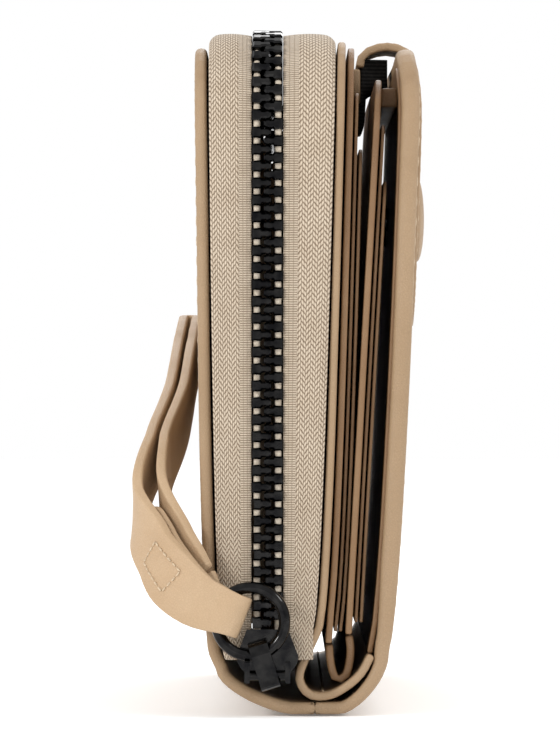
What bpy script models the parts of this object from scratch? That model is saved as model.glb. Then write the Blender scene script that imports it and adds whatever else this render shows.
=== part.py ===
"""Zip around wallet with a snap flap, a coin pocket and a wrist strap, standing on its spine.

Metres. +X runs from the zip compartment's cover to the flap, +Y from the end that the slider
stands at to the far end, +Z up. The origin is the middle of the flat underside of the spine.
"""

import math

import bmesh
import bpy
from mathutils import Matrix, Vector

# Overall sizes
wallet_length = 0.150
cover_top = 0.104
cover_corner = 0.0135
gap = 0.0003

# Leather and lining thicknesses
cover_leather = 0.0019
panel_leather = 0.0013
lining_leather = 0.0006
slot_leather = 0.0005
page_leather = 0.0010
spine_lining_leather = 0.0012
strip_leather = 0.0012
flap_leather = 0.0022
flap_lining_leather = 0.0008

# Spine: the flat that the wallet stands on, and the two lines where the covers fold
base_left = -0.0034
base_right = 0.0043
front_fold_x = -0.0149
front_fold_z = 0.0070
flap_fold_x = 0.0121
flap_fold_z = 0.0095

# Upright layers: each line's X at its lower and its upper end
front_top_x = -0.0183
front_bow = 0.28
panel_low_z = 0.0134
panel_low_x = 0.0005
panel_top_x = 0.0041
panel_rise = 0.001
layer_bow = 0.6
flap_low_x = 0.0086
flap_high_x = 0.0139
page_b_low_z = 0.0124
page_b_low_x = 0.0052
page_b_top_x = 0.0100
page_b_top_drop = 0.005
page_a_low_z = 0.0110
flap_top_turn = 0.0012
flap_top_turn_height = 0.010

# Card slots: how far each step stands below the one behind it
slot_step = 0.0088
first_slot_drop = 0.0073
inner_slot_drop = 0.014
slot_end_margin = 0.0035
inner_slot_margin = 0.009
lining_margin = 0.003

# Main zip
chain_x = -0.0069
chain_width = 0.0047
tape_thickness = 0.0009
tape_proud_ends = 0.0008
tape_proud_top = 0.0020
tape_low_z = 0.0085
tooth_pitch = 0.00262
tooth_neck = 0.0008
tooth_head = 0.0012
tooth_thickness = 0.0025
bead_width = 0.0010
tooth_tip_gap = 0.0004
teeth_low_z = 0.0140
stop_height = 0.0022

# Slider, pull link and ring
slider_top_z = 0.0133
slider_low_z = 0.0055
slider_rear_width = 0.0064
slider_nose_width = 0.0096
slider_plate = 0.0010
post_width = 0.0016
pin_radius = 0.0007
link_width = 0.0030
link_wall = 0.0006
lug_thickness = 0.0008
pin_z = 0.0062
link_reach = 0.0035
link_lean = 17.2
ring_share_of_strap = 0.53
wire_radius = 0.0009

# Wrist strap
strap_width = 0.0100
strap_leather = 0.0016
strap_near_loop = 0.0021
strap_far_loop = 0.0011
strap_fold_share = 0.66
strap_lean = 22
strap_patch_from = 0.0075
strap_patch_to = 0.0225
strap_patch_share = 0.6
strap_patch_width = 0.8
strap_cover_gap = 0.0004

# Coin pocket
coin_wall = 0.0008
coin_hollow = 0.0043
coin_low_z = 0.0085
coin_drop = 0.014
coin_end_margin = 0.009
coin_corner = 0.008
coin_tooth_pitch = 0.0030
coin_chain_width = 0.0022

# Closure tab and snap
tab_width = 0.0200
tab_leather = 0.0013
tab_tip_z = 0.0605
tab_arch_rise = 0.0026
tab_root_low_drop = 0.0068
tab_fold_drop = 0.0006
snap_z = 0.0785
cap_radius = 0.0070
cap_bulge = 0.0008
socket_radius = 0.0055
stud_radius = 0.0019
stud_head = 0.0006
washer_radius = 0.0045
washer_thickness = 0.0006

# What follows from them
half_length = wallet_length / 2
flap_total = flap_leather + gap + flap_lining_leather
tape_top = cover_top + tape_proud_top - tape_thickness / 2
tape_half = half_length + tape_proud_ends - tape_thickness / 2
tape_corner = cover_corner + 0.0015
panel_top = cover_top + panel_rise
slider_half_gap = tooth_thickness / 2 + gap
link_hole = max(pin_radius, wire_radius) + 2 * gap
link_outer = link_hole + link_wall
pin_y = -tape_half - slider_half_gap - slider_plate - link_outer - gap
pin = Vector((chain_x, pin_y, pin_z))
ring_radius = ring_share_of_strap * strap_width
link_tilt = -math.radians(link_lean)
link_direction = Vector((math.sin(link_tilt), 0, math.cos(link_tilt)))
ring_eye = pin + link_reach * link_direction
ring_centre = ring_eye + ring_radius * link_direction
strap_turn = math.radians(strap_lean)
strap_direction = Vector((-math.cos(strap_turn), 0, math.sin(strap_turn)))
strap_grip = ring_centre + ring_radius * strap_direction
coin_x = chain_x + 0.0007
coin_half = coin_wall + coin_hollow / 2
coin_top = cover_top - coin_drop
coin_chain_z = coin_top + coin_chain_width / 2 + gap
coin_slider_y = -half_length + coin_end_margin + coin_corner + 0.004
tab_root_x = panel_top_x + panel_leather + page_leather + 2 * gap + 0.0012

# Each body's origin, on its joint
body_origins = {
    "back": (None, Vector((0, 0, 0))),
    "front": ("back", Vector((front_fold_x, 0, front_fold_z))),
    "coin_pocket": ("back", Vector((coin_x, 0, coin_low_z - gap))),
    "coin_slider": ("coin_pocket", Vector((coin_x, coin_slider_y, coin_chain_z))),
    "coin_pull": ("coin_slider", Vector((coin_x, coin_slider_y - 0.003, coin_chain_z + 0.0030))),
    "slider": ("front", Vector((chain_x, -tape_half, slider_low_z))),
    "pull_link": ("slider", pin),
    "ring": ("pull_link", ring_eye),
    "strap": ("ring", strap_grip),
    "flap": ("back", Vector((flap_fold_x, 0, flap_fold_z))),
    "tab": ("back", Vector((tab_root_x, 0, cover_top - tab_fold_drop))),
}

colours = {
    "cover_leather": ((0.55, 0.36, 0.20), 0.55, 0.0),
    "lining_leather": ((0.26, 0.14, 0.06), 0.65, 0.0),
    "zip_tape": ((0.50, 0.41, 0.31), 0.85, 0.0),
    "lining_cloth": ((0.36, 0.26, 0.17), 0.90, 0.0),
    "gunmetal": ((0.05, 0.05, 0.05), 0.22, 1.0),
}


def start_empty_scene():
    for old in list(bpy.data.objects):
        bpy.data.objects.remove(old, do_unlink=True)


def make_materials():
    made = {}
    for name, (colour, roughness, metallic) in colours.items():
        material = bpy.data.materials.new(name)
        material.use_nodes = True
        shader = material.node_tree.nodes["Principled BSDF"]
        shader.inputs["Base Color"].default_value = (*colour, 1.0)
        shader.inputs["Roughness"].default_value = roughness
        shader.inputs["Metallic"].default_value = metallic
        made[name] = material
    return made


def make_bodies():
    made = {}
    for name, (parent, origin) in body_origins.items():
        empty = bpy.data.objects.new("body_" + name, None)
        bpy.context.scene.collection.objects.link(empty)
        if parent:
            empty.parent = made[parent]
            empty.location = origin - body_origins[parent][1]
        made[name] = empty
    return made


def add_piece(name, body, finish, mesh_maker):
    """Turns the bmesh, in world places, into an object whose origin is its body's joint."""
    bmesh.ops.recalc_face_normals(mesh_maker, faces=mesh_maker.faces)
    bmesh.ops.translate(mesh_maker, vec=-body_origins[body][1], verts=mesh_maker.verts)
    mesh = bpy.data.meshes.new(name)
    mesh_maker.to_mesh(mesh)
    mesh_maker.free()
    mesh.materials.append(materials[finish])
    piece = bpy.data.objects.new(name, mesh)
    piece.parent = bodies[body]
    bpy.context.scene.collection.objects.link(piece)
    return piece


def round_shading(piece, angle=35):
    piece.data.shade_smooth()
    piece.data.set_sharp_from_angle(angle=math.radians(angle))


def cut(piece, cutter):
    """Takes the cutter's shape out of the piece."""
    cutter.hide_render = True
    cutter.display_type = "WIRE"
    boolean = piece.modifiers.new("cut", "BOOLEAN")
    boolean.object = cutter
    boolean.operation = "DIFFERENCE"


def join(piece, other):
    """Adds the other's shape to the piece."""
    other.hide_render = True
    other.display_type = "WIRE"
    boolean = piece.modifiers.new("join", "BOOLEAN")
    boolean.object = other
    boolean.operation = "UNION"


def loft(rings, closed=False):
    """A solid through rings of points, with a flat cap at each end unless it is closed."""
    shape = bmesh.new()
    loops = [[shape.verts.new(point) for point in ring] for ring in rings]
    following = loops[1:] + loops[:1] if closed else loops[1:]
    for lower, upper in zip(loops, following):
        for index in range(len(lower)):
            before = index - 1
            shape.faces.new((lower[before], lower[index], upper[index], upper[before]))
    if not closed:
        shape.faces.new(reversed(loops[0]))
        shape.faces.new(loops[-1])
    return shape


def bezier(start, start_handle, end_handle, end, count):
    """Points along a cubic curve, both ends included."""
    points = []
    for step in range(count + 1):
        t = step / count
        u = 1 - t
        points.append(
            u**3 * Vector(start)
            + 3 * u * u * t * Vector(start_handle)
            + 3 * u * t * t * Vector(end_handle)
            + t**3 * Vector(end)
        )
    return points


def smooth_through(points, count):
    """A smooth curve through the points, with count stretches between each two."""
    points = [Vector(point) for point in points]
    ends = [2 * points[0] - points[1]] + points + [2 * points[-1] - points[-2]]
    curve = []
    for before, here, after, beyond in zip(ends, ends[1:], ends[2:], ends[3:]):
        for step in range(count):
            t = step / count
            curve.append(
                0.5
                * (
                    2 * here
                    + (after - before) * t
                    + (2 * before - 5 * here + 4 * after - beyond) * t * t
                    + (3 * here - before - 3 * after + beyond) * t**3
                )
            )
    return curve + [points[-1]]


def sheet_outline(line, left_side, right_side):
    """The outline of a layer that lies along a line of (x, z) points, so far to each side of it."""
    left = []
    right = []
    for index, point in enumerate(line):
        before = line[max(index - 1, 0)]
        after = line[min(index + 1, len(line) - 1)]
        along = (after - before).normalized()
        across = Vector((-along.y, along.x))
        left.append(point + left_side * across)
        right.append(point - right_side * across)
    return left + right[::-1]


def across_wallet(outline, low_y, high_y):
    """A solid with an (x, z) outline, from one Y to the other."""
    return loft([[(p.x, y, p.y) for p in outline] for y in (low_y, high_y)])


def line_between(low_x, low_z, high_x, high_z, bow=1.0):
    """The X of an upright layer's face at each height."""

    def x_at(z):
        share = min(max((z - low_z) / (high_z - low_z), 0.0), 1.0)
        return low_x + (high_x - low_x) * share**bow

    return x_at


def shifted(x_at, distance):
    return lambda z: x_at(z) + distance


def upright(left, right, low_z, high_z, half, corner):
    """A layer between two faces, with its two upper corners rounded."""
    corner_z = high_z - corner
    levels = [(low_z + (corner_z - low_z) * (step / 9) ** 1.6, half) for step in range(10)]
    for step in range(1, 7):
        turn = math.radians(15 * step)
        levels.append((corner_z + corner * math.sin(turn), half - corner * (1 - math.cos(turn))))
    rings = []
    for z, y in levels:
        rings.append([(left(z), -y, z), (right(z), -y, z), (right(z), y, z), (left(z), y, z)])
    return loft(rings)


def zip_path(low_z, top_z, half, corner, straight_steps=3):
    """Places and outward directions along the zip, up one end, over the top and down the other."""
    path = []
    for step in range(straight_steps + 1):
        z = low_z + (top_z - corner - low_z) * step / straight_steps
        path.append((Vector((0, -half, z)), Vector((0, -1, 0))))
    for step in range(1, 7):
        turn = math.radians(15 * step)
        out = Vector((0, -math.cos(turn), math.sin(turn)))
        path.append((Vector((0, corner - half, top_z - corner)) + corner * out, out))
    mirrored = []
    for place, out in reversed(path):
        mirrored.append((Vector((0, -place.y, place.z)), Vector((0, -out.y, out.z))))
    return path + mirrored


def path_point(distance, low_z, top_z, half, corner):
    """The place and outward direction at a distance along the zip from its lower near end."""
    rise = top_z - corner - low_z
    turn_length = corner * math.pi / 2
    run = 2 * (half - corner)
    if distance <= rise:
        return Vector((0, -half, low_z + distance)), Vector((0, -1, 0))
    if distance <= rise + turn_length:
        turn = (distance - rise) / corner
        out = Vector((0, -math.cos(turn), math.sin(turn)))
        return Vector((0, corner - half, top_z - corner)) + corner * out, out
    if distance <= rise + turn_length + run / 2:
        return Vector((0, corner - half + distance - rise - turn_length, top_z)), Vector((0, 0, 1))
    total = 2 * rise + 2 * turn_length + run
    place, out = path_point(total - distance, low_z, top_z, half, corner)
    return Vector((0, -place.y, place.z)), Vector((0, -out.y, out.z))


def comb(point_at, length, pitch, offset, bead_from, bead_to, tip, neck, head, thickness):
    """A row of teeth on one bead. point_at gives the place and the outward direction at a distance."""
    shape = bmesh.new()
    count = int((length - offset - head) / pitch)
    outer_before = None
    for number in range(count):
        middle = offset + head / 2 + number * pitch
        corners = []
        for distance, x in (
            (middle - neck / 2, bead_from),
            (middle - neck / 2, bead_to),
            (middle - head / 2, tip),
            (middle + head / 2, tip),
            (middle + neck / 2, bead_to),
            (middle + neck / 2, bead_from),
        ):
            place, out = point_at(distance)
            corners.append(
                [
                    shape.verts.new(place + Vector((x, 0, 0)) + side * out * thickness / 2)
                    for side in (-1, 1)
                ]
            )
        first, second, third, fourth, fifth, sixth = corners
        for side in (0, 1):
            shape.faces.new((first[side], second[side], fifth[side], sixth[side]))
            shape.faces.new((second[side], third[side], fourth[side], fifth[side]))
        for one, other in ((second, third), (third, fourth), (fourth, fifth), (sixth, first)):
            shape.faces.new((one[0], other[0], other[1], one[1]))
        if outer_before:
            for one, other in ((outer_before[0], first), (outer_before[1], second)):
                shape.faces.new((one[0], other[0], other[1], one[1]))
            for side in (0, 1):
                shape.faces.new(
                    (outer_before[0][side], first[side], second[side], outer_before[1][side])
                )
        else:
            shape.faces.new((first[0], second[0], second[1], first[1]))
        outer_before = (sixth, fifth)
    last_outer, last_inner = outer_before
    shape.faces.new((last_outer[0], last_inner[0], last_inner[1], last_outer[1]))
    return shape


def box(low, high):
    shape = bmesh.new()
    bmesh.ops.create_cube(shape, size=1)
    low = Vector(low)
    high = Vector(high)
    bmesh.ops.scale(shape, vec=high - low, verts=shape.verts)
    bmesh.ops.translate(shape, vec=(low + high) / 2, verts=shape.verts)
    return shape


def rod(radius, start, end, sides=20):
    """A round bar from one point to another."""
    start = Vector(start)
    end = Vector(end)
    shape = bmesh.new()
    bmesh.ops.create_cone(
        shape,
        cap_ends=True,
        segments=sides,
        radius1=radius,
        radius2=radius,
        depth=(end - start).length,
    )
    turn = (end - start).to_track_quat("Z", "Y").to_matrix()
    bmesh.ops.rotate(shape, cent=(0, 0, 0), matrix=turn, verts=shape.verts)
    bmesh.ops.translate(shape, vec=(start + end) / 2, verts=shape.verts)
    return shape


def turned_about_x(profile, centre, sides=28):
    """A closed (x, radius) outline turned about the X direction through a point, with a hole."""
    rings = []
    for step in range(sides):
        turn = 2 * math.pi * step / sides
        out = Vector((0, math.cos(turn), math.sin(turn)))
        rings.append([Vector(centre) + Vector((x, 0, 0)) + radius * out for x, radius in profile])
    return loft(rings, closed=True)


def dome_about_x(centre, radius, depth, bulge, sides=28):
    """A disc facing +X with a low domed face."""
    rings = []
    for x, share in ((0, 1), (depth, 1), (depth + 0.55 * bulge, 0.8), (depth + bulge, 0.4)):
        ring = []
        for step in range(sides):
            turn = 2 * math.pi * step / sides
            out = Vector((0, math.cos(turn), math.sin(turn)))
            ring.append(Vector(centre) + Vector((x, 0, 0)) + radius * share * out)
        rings.append(ring)
    return loft(rings)


# Faces of the upright layers
front_outer = line_between(front_fold_x, front_fold_z, front_top_x, cover_top, front_bow)
front_inner = shifted(front_outer, cover_leather)
panel_left = line_between(panel_low_x, panel_low_z, panel_top_x, panel_top, layer_bow)
panel_right = shifted(panel_left, panel_leather)
page_a_left = shifted(panel_right, gap)
page_a_right = shifted(page_a_left, page_leather)
flap_line = line_between(flap_low_x, flap_fold_z, flap_high_x, cover_top, layer_bow)
page_b_left = line_between(page_b_low_x, page_b_low_z, page_b_top_x, cover_top - page_b_top_drop)
page_b_right = shifted(page_b_left, page_leather)


def flap_left(z):
    """The flap leans in towards its top edge."""
    turn = max(z - (cover_top - flap_top_turn_height), 0.0) / flap_top_turn_height
    return flap_line(z) - flap_top_turn * turn * turn


flap_outer_left = shifted(flap_left, flap_lining_leather + gap)
flap_right = shifted(flap_left, flap_total)


def make_spine():
    """The cover leather between the two fold lines, and the lining folded up inside it."""
    left = bezier(
        (front_fold_x, front_fold_z - gap),
        (front_fold_x, front_fold_z - 0.0026),
        (base_left - 0.0050, 0.0007),
        (base_left, 0),
        8,
    )
    right = bezier(
        (base_right, 0),
        (base_right + 0.0026, 0.0),
        (flap_fold_x, flap_fold_z - 0.0042),
        (flap_fold_x, flap_fold_z - gap),
        8,
    )
    outline = sheet_outline(left + right, cover_leather, 0)
    outline[0].y = front_fold_z - gap
    outline[len(left + right) - 1].y = flap_fold_z - gap
    add_piece("spine_cover", "back", "cover_leather", across_wallet(outline, -half_length, half_length))

    half = spine_lining_leather / 2
    low_z = cover_leather + gap + half
    fold = smooth_through(
        [
            (flap_low_x + half, flap_fold_z - gap),
            (flap_low_x - 0.0010, flap_fold_z - 0.0032),
            (flap_low_x - 0.0034, low_z + 0.0014),
            (base_right - 0.0018, low_z + 0.0001),
            (base_left + 0.0030, low_z + 0.0003),
            (base_left + 0.0015, low_z + 0.0026),
            (base_left + 0.0023, low_z + 0.0056),
            (panel_low_x + panel_leather / 2, panel_low_z - gap),
        ],
        3,
    )
    outline = sheet_outline(fold, half, half)
    end = half_length - 0.0006
    add_piece("spine_lining", "back", "cover_leather", across_wallet(outline, -end, end))

    half = strip_leather / 2
    page_middle = page_a_left(page_a_low_z) + half
    strip_low = low_z + spine_lining_leather + 0.0012
    fold = smooth_through(
        [
            (page_middle, page_a_low_z - gap),
            (page_middle + 0.0002, page_a_low_z - 0.0030),
            (page_middle + 0.0010, strip_low + 0.0003),
            (page_middle + 0.0026, strip_low + 0.0008),
            (page_b_low_x + half + 0.0002, page_b_low_z - 0.0032),
            (page_b_low_x + half, page_b_low_z - gap),
        ],
        3,
    )
    outline = sheet_outline(fold, half, half)
    end = half_length - slot_end_margin
    add_piece("inner_spine_strip", "back", "lining_leather", across_wallet(outline, -end, end))


def make_card_slots(names, body, finish, face, outward, low_z, tops, half):
    """Stepped slots in front of a face. outward is 1 where they build up towards +X."""
    near = gap
    for name, top in zip(names, tops):
        far = near + slot_leather
        left, right = sorted((outward * near, outward * far))
        layer = upright(shifted(face, left), shifted(face, right), low_z, top, half, 0.004)
        add_piece(name, body, finish, layer)
        near = far + gap


def make_front_cover():
    """The cover of the zip compartment with its lining and three stepped card slots."""
    cover = upright(front_outer, front_inner, front_fold_z, cover_top, half_length, cover_corner)
    add_piece("front_cover", "front", "cover_leather", cover)
    low_z = front_fold_z + 0.0025
    lining_left = shifted(front_inner, gap)
    lining_right = shifted(lining_left, lining_leather)
    top = cover_top - 0.007
    half = half_length - lining_margin
    lining = upright(lining_left, lining_right, low_z, top, half, cover_corner)
    add_piece("front_lining", "front", "lining_cloth", lining)
    names = ["front_card_slot_1", "front_card_slot_2", "front_card_slot_3"]
    tops = [cover_top - inner_slot_drop - slot_step * step for step in range(3)]
    half = half_length - inner_slot_margin
    make_card_slots(names, "front", "lining_leather", lining_right, 1, low_z, tops, half)


def make_back_panel():
    """The panel between the zip compartment and the bill pocket, with slots on both its sides."""
    panel = upright(panel_left, panel_right, panel_low_z, panel_top, half_length, cover_corner)
    add_piece("back_panel", "back", "cover_leather", panel)
    lining_right = shifted(panel_left, -gap)
    lining_left = shifted(lining_right, -lining_leather)
    top = cover_top - 0.007
    half = half_length - lining_margin
    lining = upright(lining_left, lining_right, panel_low_z, top, half, cover_corner)
    add_piece("back_lining", "back", "lining_cloth", lining)
    names = ["back_card_slot_1", "back_card_slot_2"]
    tops = [cover_top - inner_slot_drop - slot_step * step for step in range(2)]
    half = half_length - inner_slot_margin
    make_card_slots(names, "back", "lining_leather", lining_left, -1, panel_low_z, tops, half)

    half = half_length - 0.0015
    page = upright(page_a_left, page_a_right, page_a_low_z, cover_top, half, cover_corner - 0.002)
    add_piece("back_page", "back", "lining_leather", page)
    names = ["back_page_slot_1", "back_page_slot_2"]
    tops = [cover_top - first_slot_drop - slot_step * step for step in range(2)]
    half = half_length - slot_end_margin
    low_z = page_a_low_z + 0.0018
    make_card_slots(names, "back", "lining_leather", page_a_right, 1, low_z, tops, half)


def make_flap():
    """The outer flap: its cover leather and lining, the page sewn to it and that page's slots."""
    low_z = flap_fold_z
    cover = upright(flap_outer_left, flap_right, low_z, cover_top, half_length, cover_corner)
    cover = add_piece("flap_cover", "flap", "cover_leather", cover)
    lining_half = half_length - lining_margin
    lining_top = cover_top - lining_margin
    lining_right = shifted(flap_left, flap_lining_leather)
    lining = upright(flap_left, lining_right, low_z, lining_top, lining_half, cover_corner)
    lining = add_piece("flap_lining", "flap", "lining_leather", lining)
    top = cover_top - page_b_top_drop
    half = half_length - 0.0015
    page = upright(page_b_left, page_b_right, page_b_low_z, top, half, cover_corner - 0.002)
    add_piece("flap_page", "flap", "lining_leather", page)
    names = ["flap_page_slot_1", "flap_page_slot_2"]
    tops = [top - first_slot_drop - slot_step * step for step in range(2)]
    half = half_length - slot_end_margin
    low_z = page_b_low_z + 0.0018
    make_card_slots(names, "flap", "lining_leather", page_b_right, 1, low_z, tops, half)

    outer = flap_right(snap_z)
    inner = flap_left(snap_z)
    hole = rod(stud_radius + gap, (inner - 0.002, 0, snap_z), (outer + 0.002, 0, snap_z))
    hole = add_piece("stud_hole", "flap", "gunmetal", hole)
    cut(cover, hole)
    cut(lining, hole)
    back = inner - gap - washer_thickness
    head = outer + gap + stud_head
    profile = [
        (back, 0.0),
        (back, washer_radius),
        (back + washer_thickness, washer_radius),
        (back + washer_thickness, stud_radius),
        (head, stud_radius),
        (head, 0.0),
    ]
    stud = bmesh.new()
    points = [stud.verts.new((x, 0, radius)) for x, radius in profile]
    edges = [stud.edges.new(pair) for pair in zip(points, points[1:])]
    bmesh.ops.spin(
        stud,
        geom=points + edges,
        cent=(0, 0, 0),
        axis=(1, 0, 0),
        angle=2 * math.pi,
        steps=20,
        use_merge=True,
    )
    bmesh.ops.remove_doubles(stud, verts=stud.verts, dist=1e-6)
    bmesh.ops.translate(stud, vec=(0, 0, snap_z), verts=stud.verts)
    round_shading(add_piece("snap_stud", "flap", "gunmetal", stud))


def make_zip():
    """The two tapes, each a band round both ends and the top, with a row of teeth on its edge."""
    inner_edge = chain_width / 2 + gap
    sides = {
        "front": (lambda z: front_inner(z) + gap, lambda z: chain_x - inner_edge),
        "back": (lambda z: chain_x + inner_edge, lambda z: panel_left(z) - gap),
    }
    for side, (left, right) in sides.items():
        rings = []
        for place, out in zip_path(tape_low_z, tape_top, tape_half, tape_corner):
            # Above the cover's top edge the tape stays as wide as it is there.
            z = min(place.z, cover_top)
            outer = place + out * tape_thickness / 2
            inner = place - out * tape_thickness / 2
            rings.append(
                [
                    Vector((left(z), 0, 0)) + inner,
                    Vector((right(z), 0, 0)) + inner,
                    Vector((right(z), 0, 0)) + outer,
                    Vector((left(z), 0, 0)) + outer,
                ]
            )
        add_piece(side + "_zip_tape", side, "zip_tape", loft(rings))

    route = (teeth_low_z, tape_top, tape_half, tape_corner)
    length = 2 * (tape_top - tape_corner - teeth_low_z) + math.pi * tape_corner
    length += 2 * (tape_half - tape_corner)
    bead_edge = chain_width / 2
    tooth_from = bead_edge - bead_width
    for side, sign, offset in (("front", -1, 0.0), ("back", 1, tooth_pitch / 2)):
        row = comb(
            lambda distance: path_point(distance, *route),
            length,
            tooth_pitch,
            offset,
            chain_x + sign * bead_edge,
            chain_x + sign * tooth_from,
            chain_x - sign * (tooth_from - tooth_tip_gap),
            tooth_neck,
            tooth_head,
            tooth_thickness,
        )
        add_piece(side + "_zip_teeth", side, "gunmetal", row)

    stop_x = chain_width / 2 - gap
    for name, end in (("near", -1), ("far", 1)):
        y = end * tape_half
        low = (chain_x + post_width / 2 + gap, y - tape_thickness, tape_low_z)
        high = (chain_x + stop_x, y + tape_thickness, tape_low_z + stop_height)
        add_piece("zip_stop_" + name, "back", "gunmetal", box(low, high))


def make_gussets():
    """Folded cloth at each end of the compartment, from the cover's lining to the panel's."""
    left = shifted(front_inner, 2 * gap + lining_leather)
    right = shifted(panel_left, -2 * gap - lining_leather)
    middle_y = half_length - (lining_margin + inner_slot_margin) / 2
    half = lining_leather / 2
    for name, end in (("near_gusset", -1), ("far_gusset", 1)):
        rings = []
        for z in (panel_low_z + 0.004, 0.03, 0.05, cover_top - 0.030):
            start = left(z) + half
            stretch = right(z) - half - start
            line = []
            for step in range(9):
                sway = 0.0010 if step % 2 else -0.0010
                line.append(Vector((start + stretch * step / 8, end * (middle_y + sway))))
            outline = sheet_outline(line, half, half)
            rings.append([(p.x, p.y, z) for p in outline])
        add_piece(name, "back", "lining_cloth", loft(rings))


def make_coin_pocket():
    """The divider pocket in the middle of the compartment, with a small zip along its top."""
    half_y = half_length - coin_end_margin
    for name, low_x, high_x in (
        ("coin_pocket_front", -coin_half, -coin_half + coin_wall),
        ("coin_pocket_back", coin_half - coin_wall, coin_half),
    ):
        left = line_between(coin_x + low_x, 0, coin_x + low_x, 1)
        right = line_between(coin_x + high_x, 0, coin_x + high_x, 1)
        wall = upright(left, right, coin_low_z, coin_top, half_y, coin_corner)
        add_piece(name, "coin_pocket", "lining_leather", wall)
    inner = coin_hollow / 2 - gap
    low = (coin_x - inner, -half_y, coin_low_z)
    high = (coin_x + inner, half_y, coin_low_z + coin_wall)
    add_piece("coin_pocket_base", "coin_pocket", "lining_leather", box(low, high))

    zip_half = half_y - coin_corner - 0.001
    tape_z = coin_top + gap
    for side, sign in (("front", -1), ("back", 1)):
        outer = coin_x + sign * coin_half
        edge = coin_x + sign * (coin_chain_width / 2 + gap)
        low_x, high_x = sorted((outer, edge))
        tape = box((low_x, -zip_half, tape_z), (high_x, zip_half, tape_z + tape_thickness))
        add_piece("coin_zip_tape_" + side, "coin_pocket", "zip_tape", tape)

    def along_top(distance):
        return Vector((0, distance - zip_half, tape_z + tape_thickness / 2)), Vector((0, 0, 1))

    half_chain = coin_chain_width / 2
    for side, sign, offset in (("front", -1, 0.0), ("back", 1, coin_tooth_pitch / 2)):
        row = comb(
            along_top,
            2 * zip_half,
            coin_tooth_pitch,
            offset,
            coin_x + sign * half_chain,
            coin_x + sign * (half_chain - 0.0004),
            coin_x - sign * (half_chain - 0.0008),
            0.0010,
            0.0012,
            0.0012,
        )
        add_piece("coin_zip_teeth_" + side, "coin_pocket", "gunmetal", row)

    top_z = tape_z + tape_thickness / 2 + 0.0006 + gap
    length = 0.0080
    half_x = 0.0021
    body = box(
        (coin_x - half_x, coin_slider_y - length / 2, top_z),
        (coin_x + half_x, coin_slider_y + length / 2, top_z + 0.0010),
    )
    body = add_piece("coin_slider", "coin_slider", "gunmetal", body)
    eye = body_origins["coin_pull"][1]
    for sign in (-1, 1):
        inner_x = coin_x + sign * 0.0011
        outer_x = coin_x + sign * 0.0018
        low_x, high_x = sorted((inner_x, outer_x))
        lug = box((low_x, eye.y - 0.0009, top_z + 0.0005), (high_x, eye.y + 0.0009, eye.z + 0.0008))
        join(body, add_piece("coin_lug", "coin_slider", "gunmetal", lug))
    bar = rod(0.0004, eye - Vector((0.0014, 0, 0)), eye + Vector((0.0014, 0, 0)), 12)
    join(body, add_piece("coin_bar", "coin_slider", "gunmetal", bar))

    pull = box(
        (coin_x - 0.0008, eye.y - 0.0010, eye.z - 0.0010),
        (coin_x + 0.0008, eye.y + 0.0080, eye.z + 0.0010),
    )
    pull = add_piece("coin_pull", "coin_pull", "gunmetal", pull)
    hole = rod(0.0007, eye - Vector((0.002, 0, 0)), eye + Vector((0.002, 0, 0)), 12)
    cut(pull, add_piece("coin_pull_hole", "coin_pull", "gunmetal", hole))


def make_slider():
    """Two plates held apart by a post, and a pin between two lugs for the pull link."""
    outline = []
    for sign in (1, -1):
        half_rear = sign * slider_rear_width / 2
        half_nose = slider_nose_width / 2
        side = [Vector((half_rear, slider_top_z))]
        for step in range(7):
            turn = math.radians(90 * step / 6)
            x = sign * half_nose * math.cos(turn)
            z = slider_low_z + 0.0036 * (1 - math.sin(turn))
            side.append(Vector((x, z)))
        outline += side if sign == 1 else side[-2::-1]
    outline = [point + Vector((chain_x, 0)) for point in outline]
    face = -tape_half - slider_half_gap
    plate = across_wallet(outline, face - slider_plate, face)
    body = add_piece("zip_slider", "slider", "gunmetal", plate)
    back = -tape_half + slider_half_gap
    inner = across_wallet(outline, back, back + slider_plate)
    join(body, add_piece("slider_inner_plate", "slider", "gunmetal", inner))
    half_post = post_width / 2
    post = box(
        (chain_x - half_post, face - slider_plate / 2, slider_low_z + 0.0012),
        (chain_x + half_post, back + slider_plate / 2, slider_low_z + 0.0050),
    )
    join(body, add_piece("slider_post", "slider", "gunmetal", post))
    spread = abs(math.tan(link_tilt)) * link_outer
    lug_from = link_width / 2 + spread + 2 * gap
    lug_to = lug_from + lug_thickness
    for sign in (-1, 1):
        low_x, high_x = sorted((chain_x + sign * lug_from, chain_x + sign * lug_to))
        lug = box(
            (low_x, pin_y - pin_radius - 0.0004, pin_z - pin_radius - 0.0004),
            (high_x, face - slider_plate / 2, pin_z + pin_radius + 0.0014),
        )
        join(body, add_piece("slider_lug", "slider", "gunmetal", lug))
    reach = Vector((lug_from + lug_thickness / 2, 0, 0))
    bar = rod(pin_radius, pin - reach, pin + reach, 16)
    join(body, add_piece("slider_pin", "slider", "gunmetal", bar))


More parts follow.
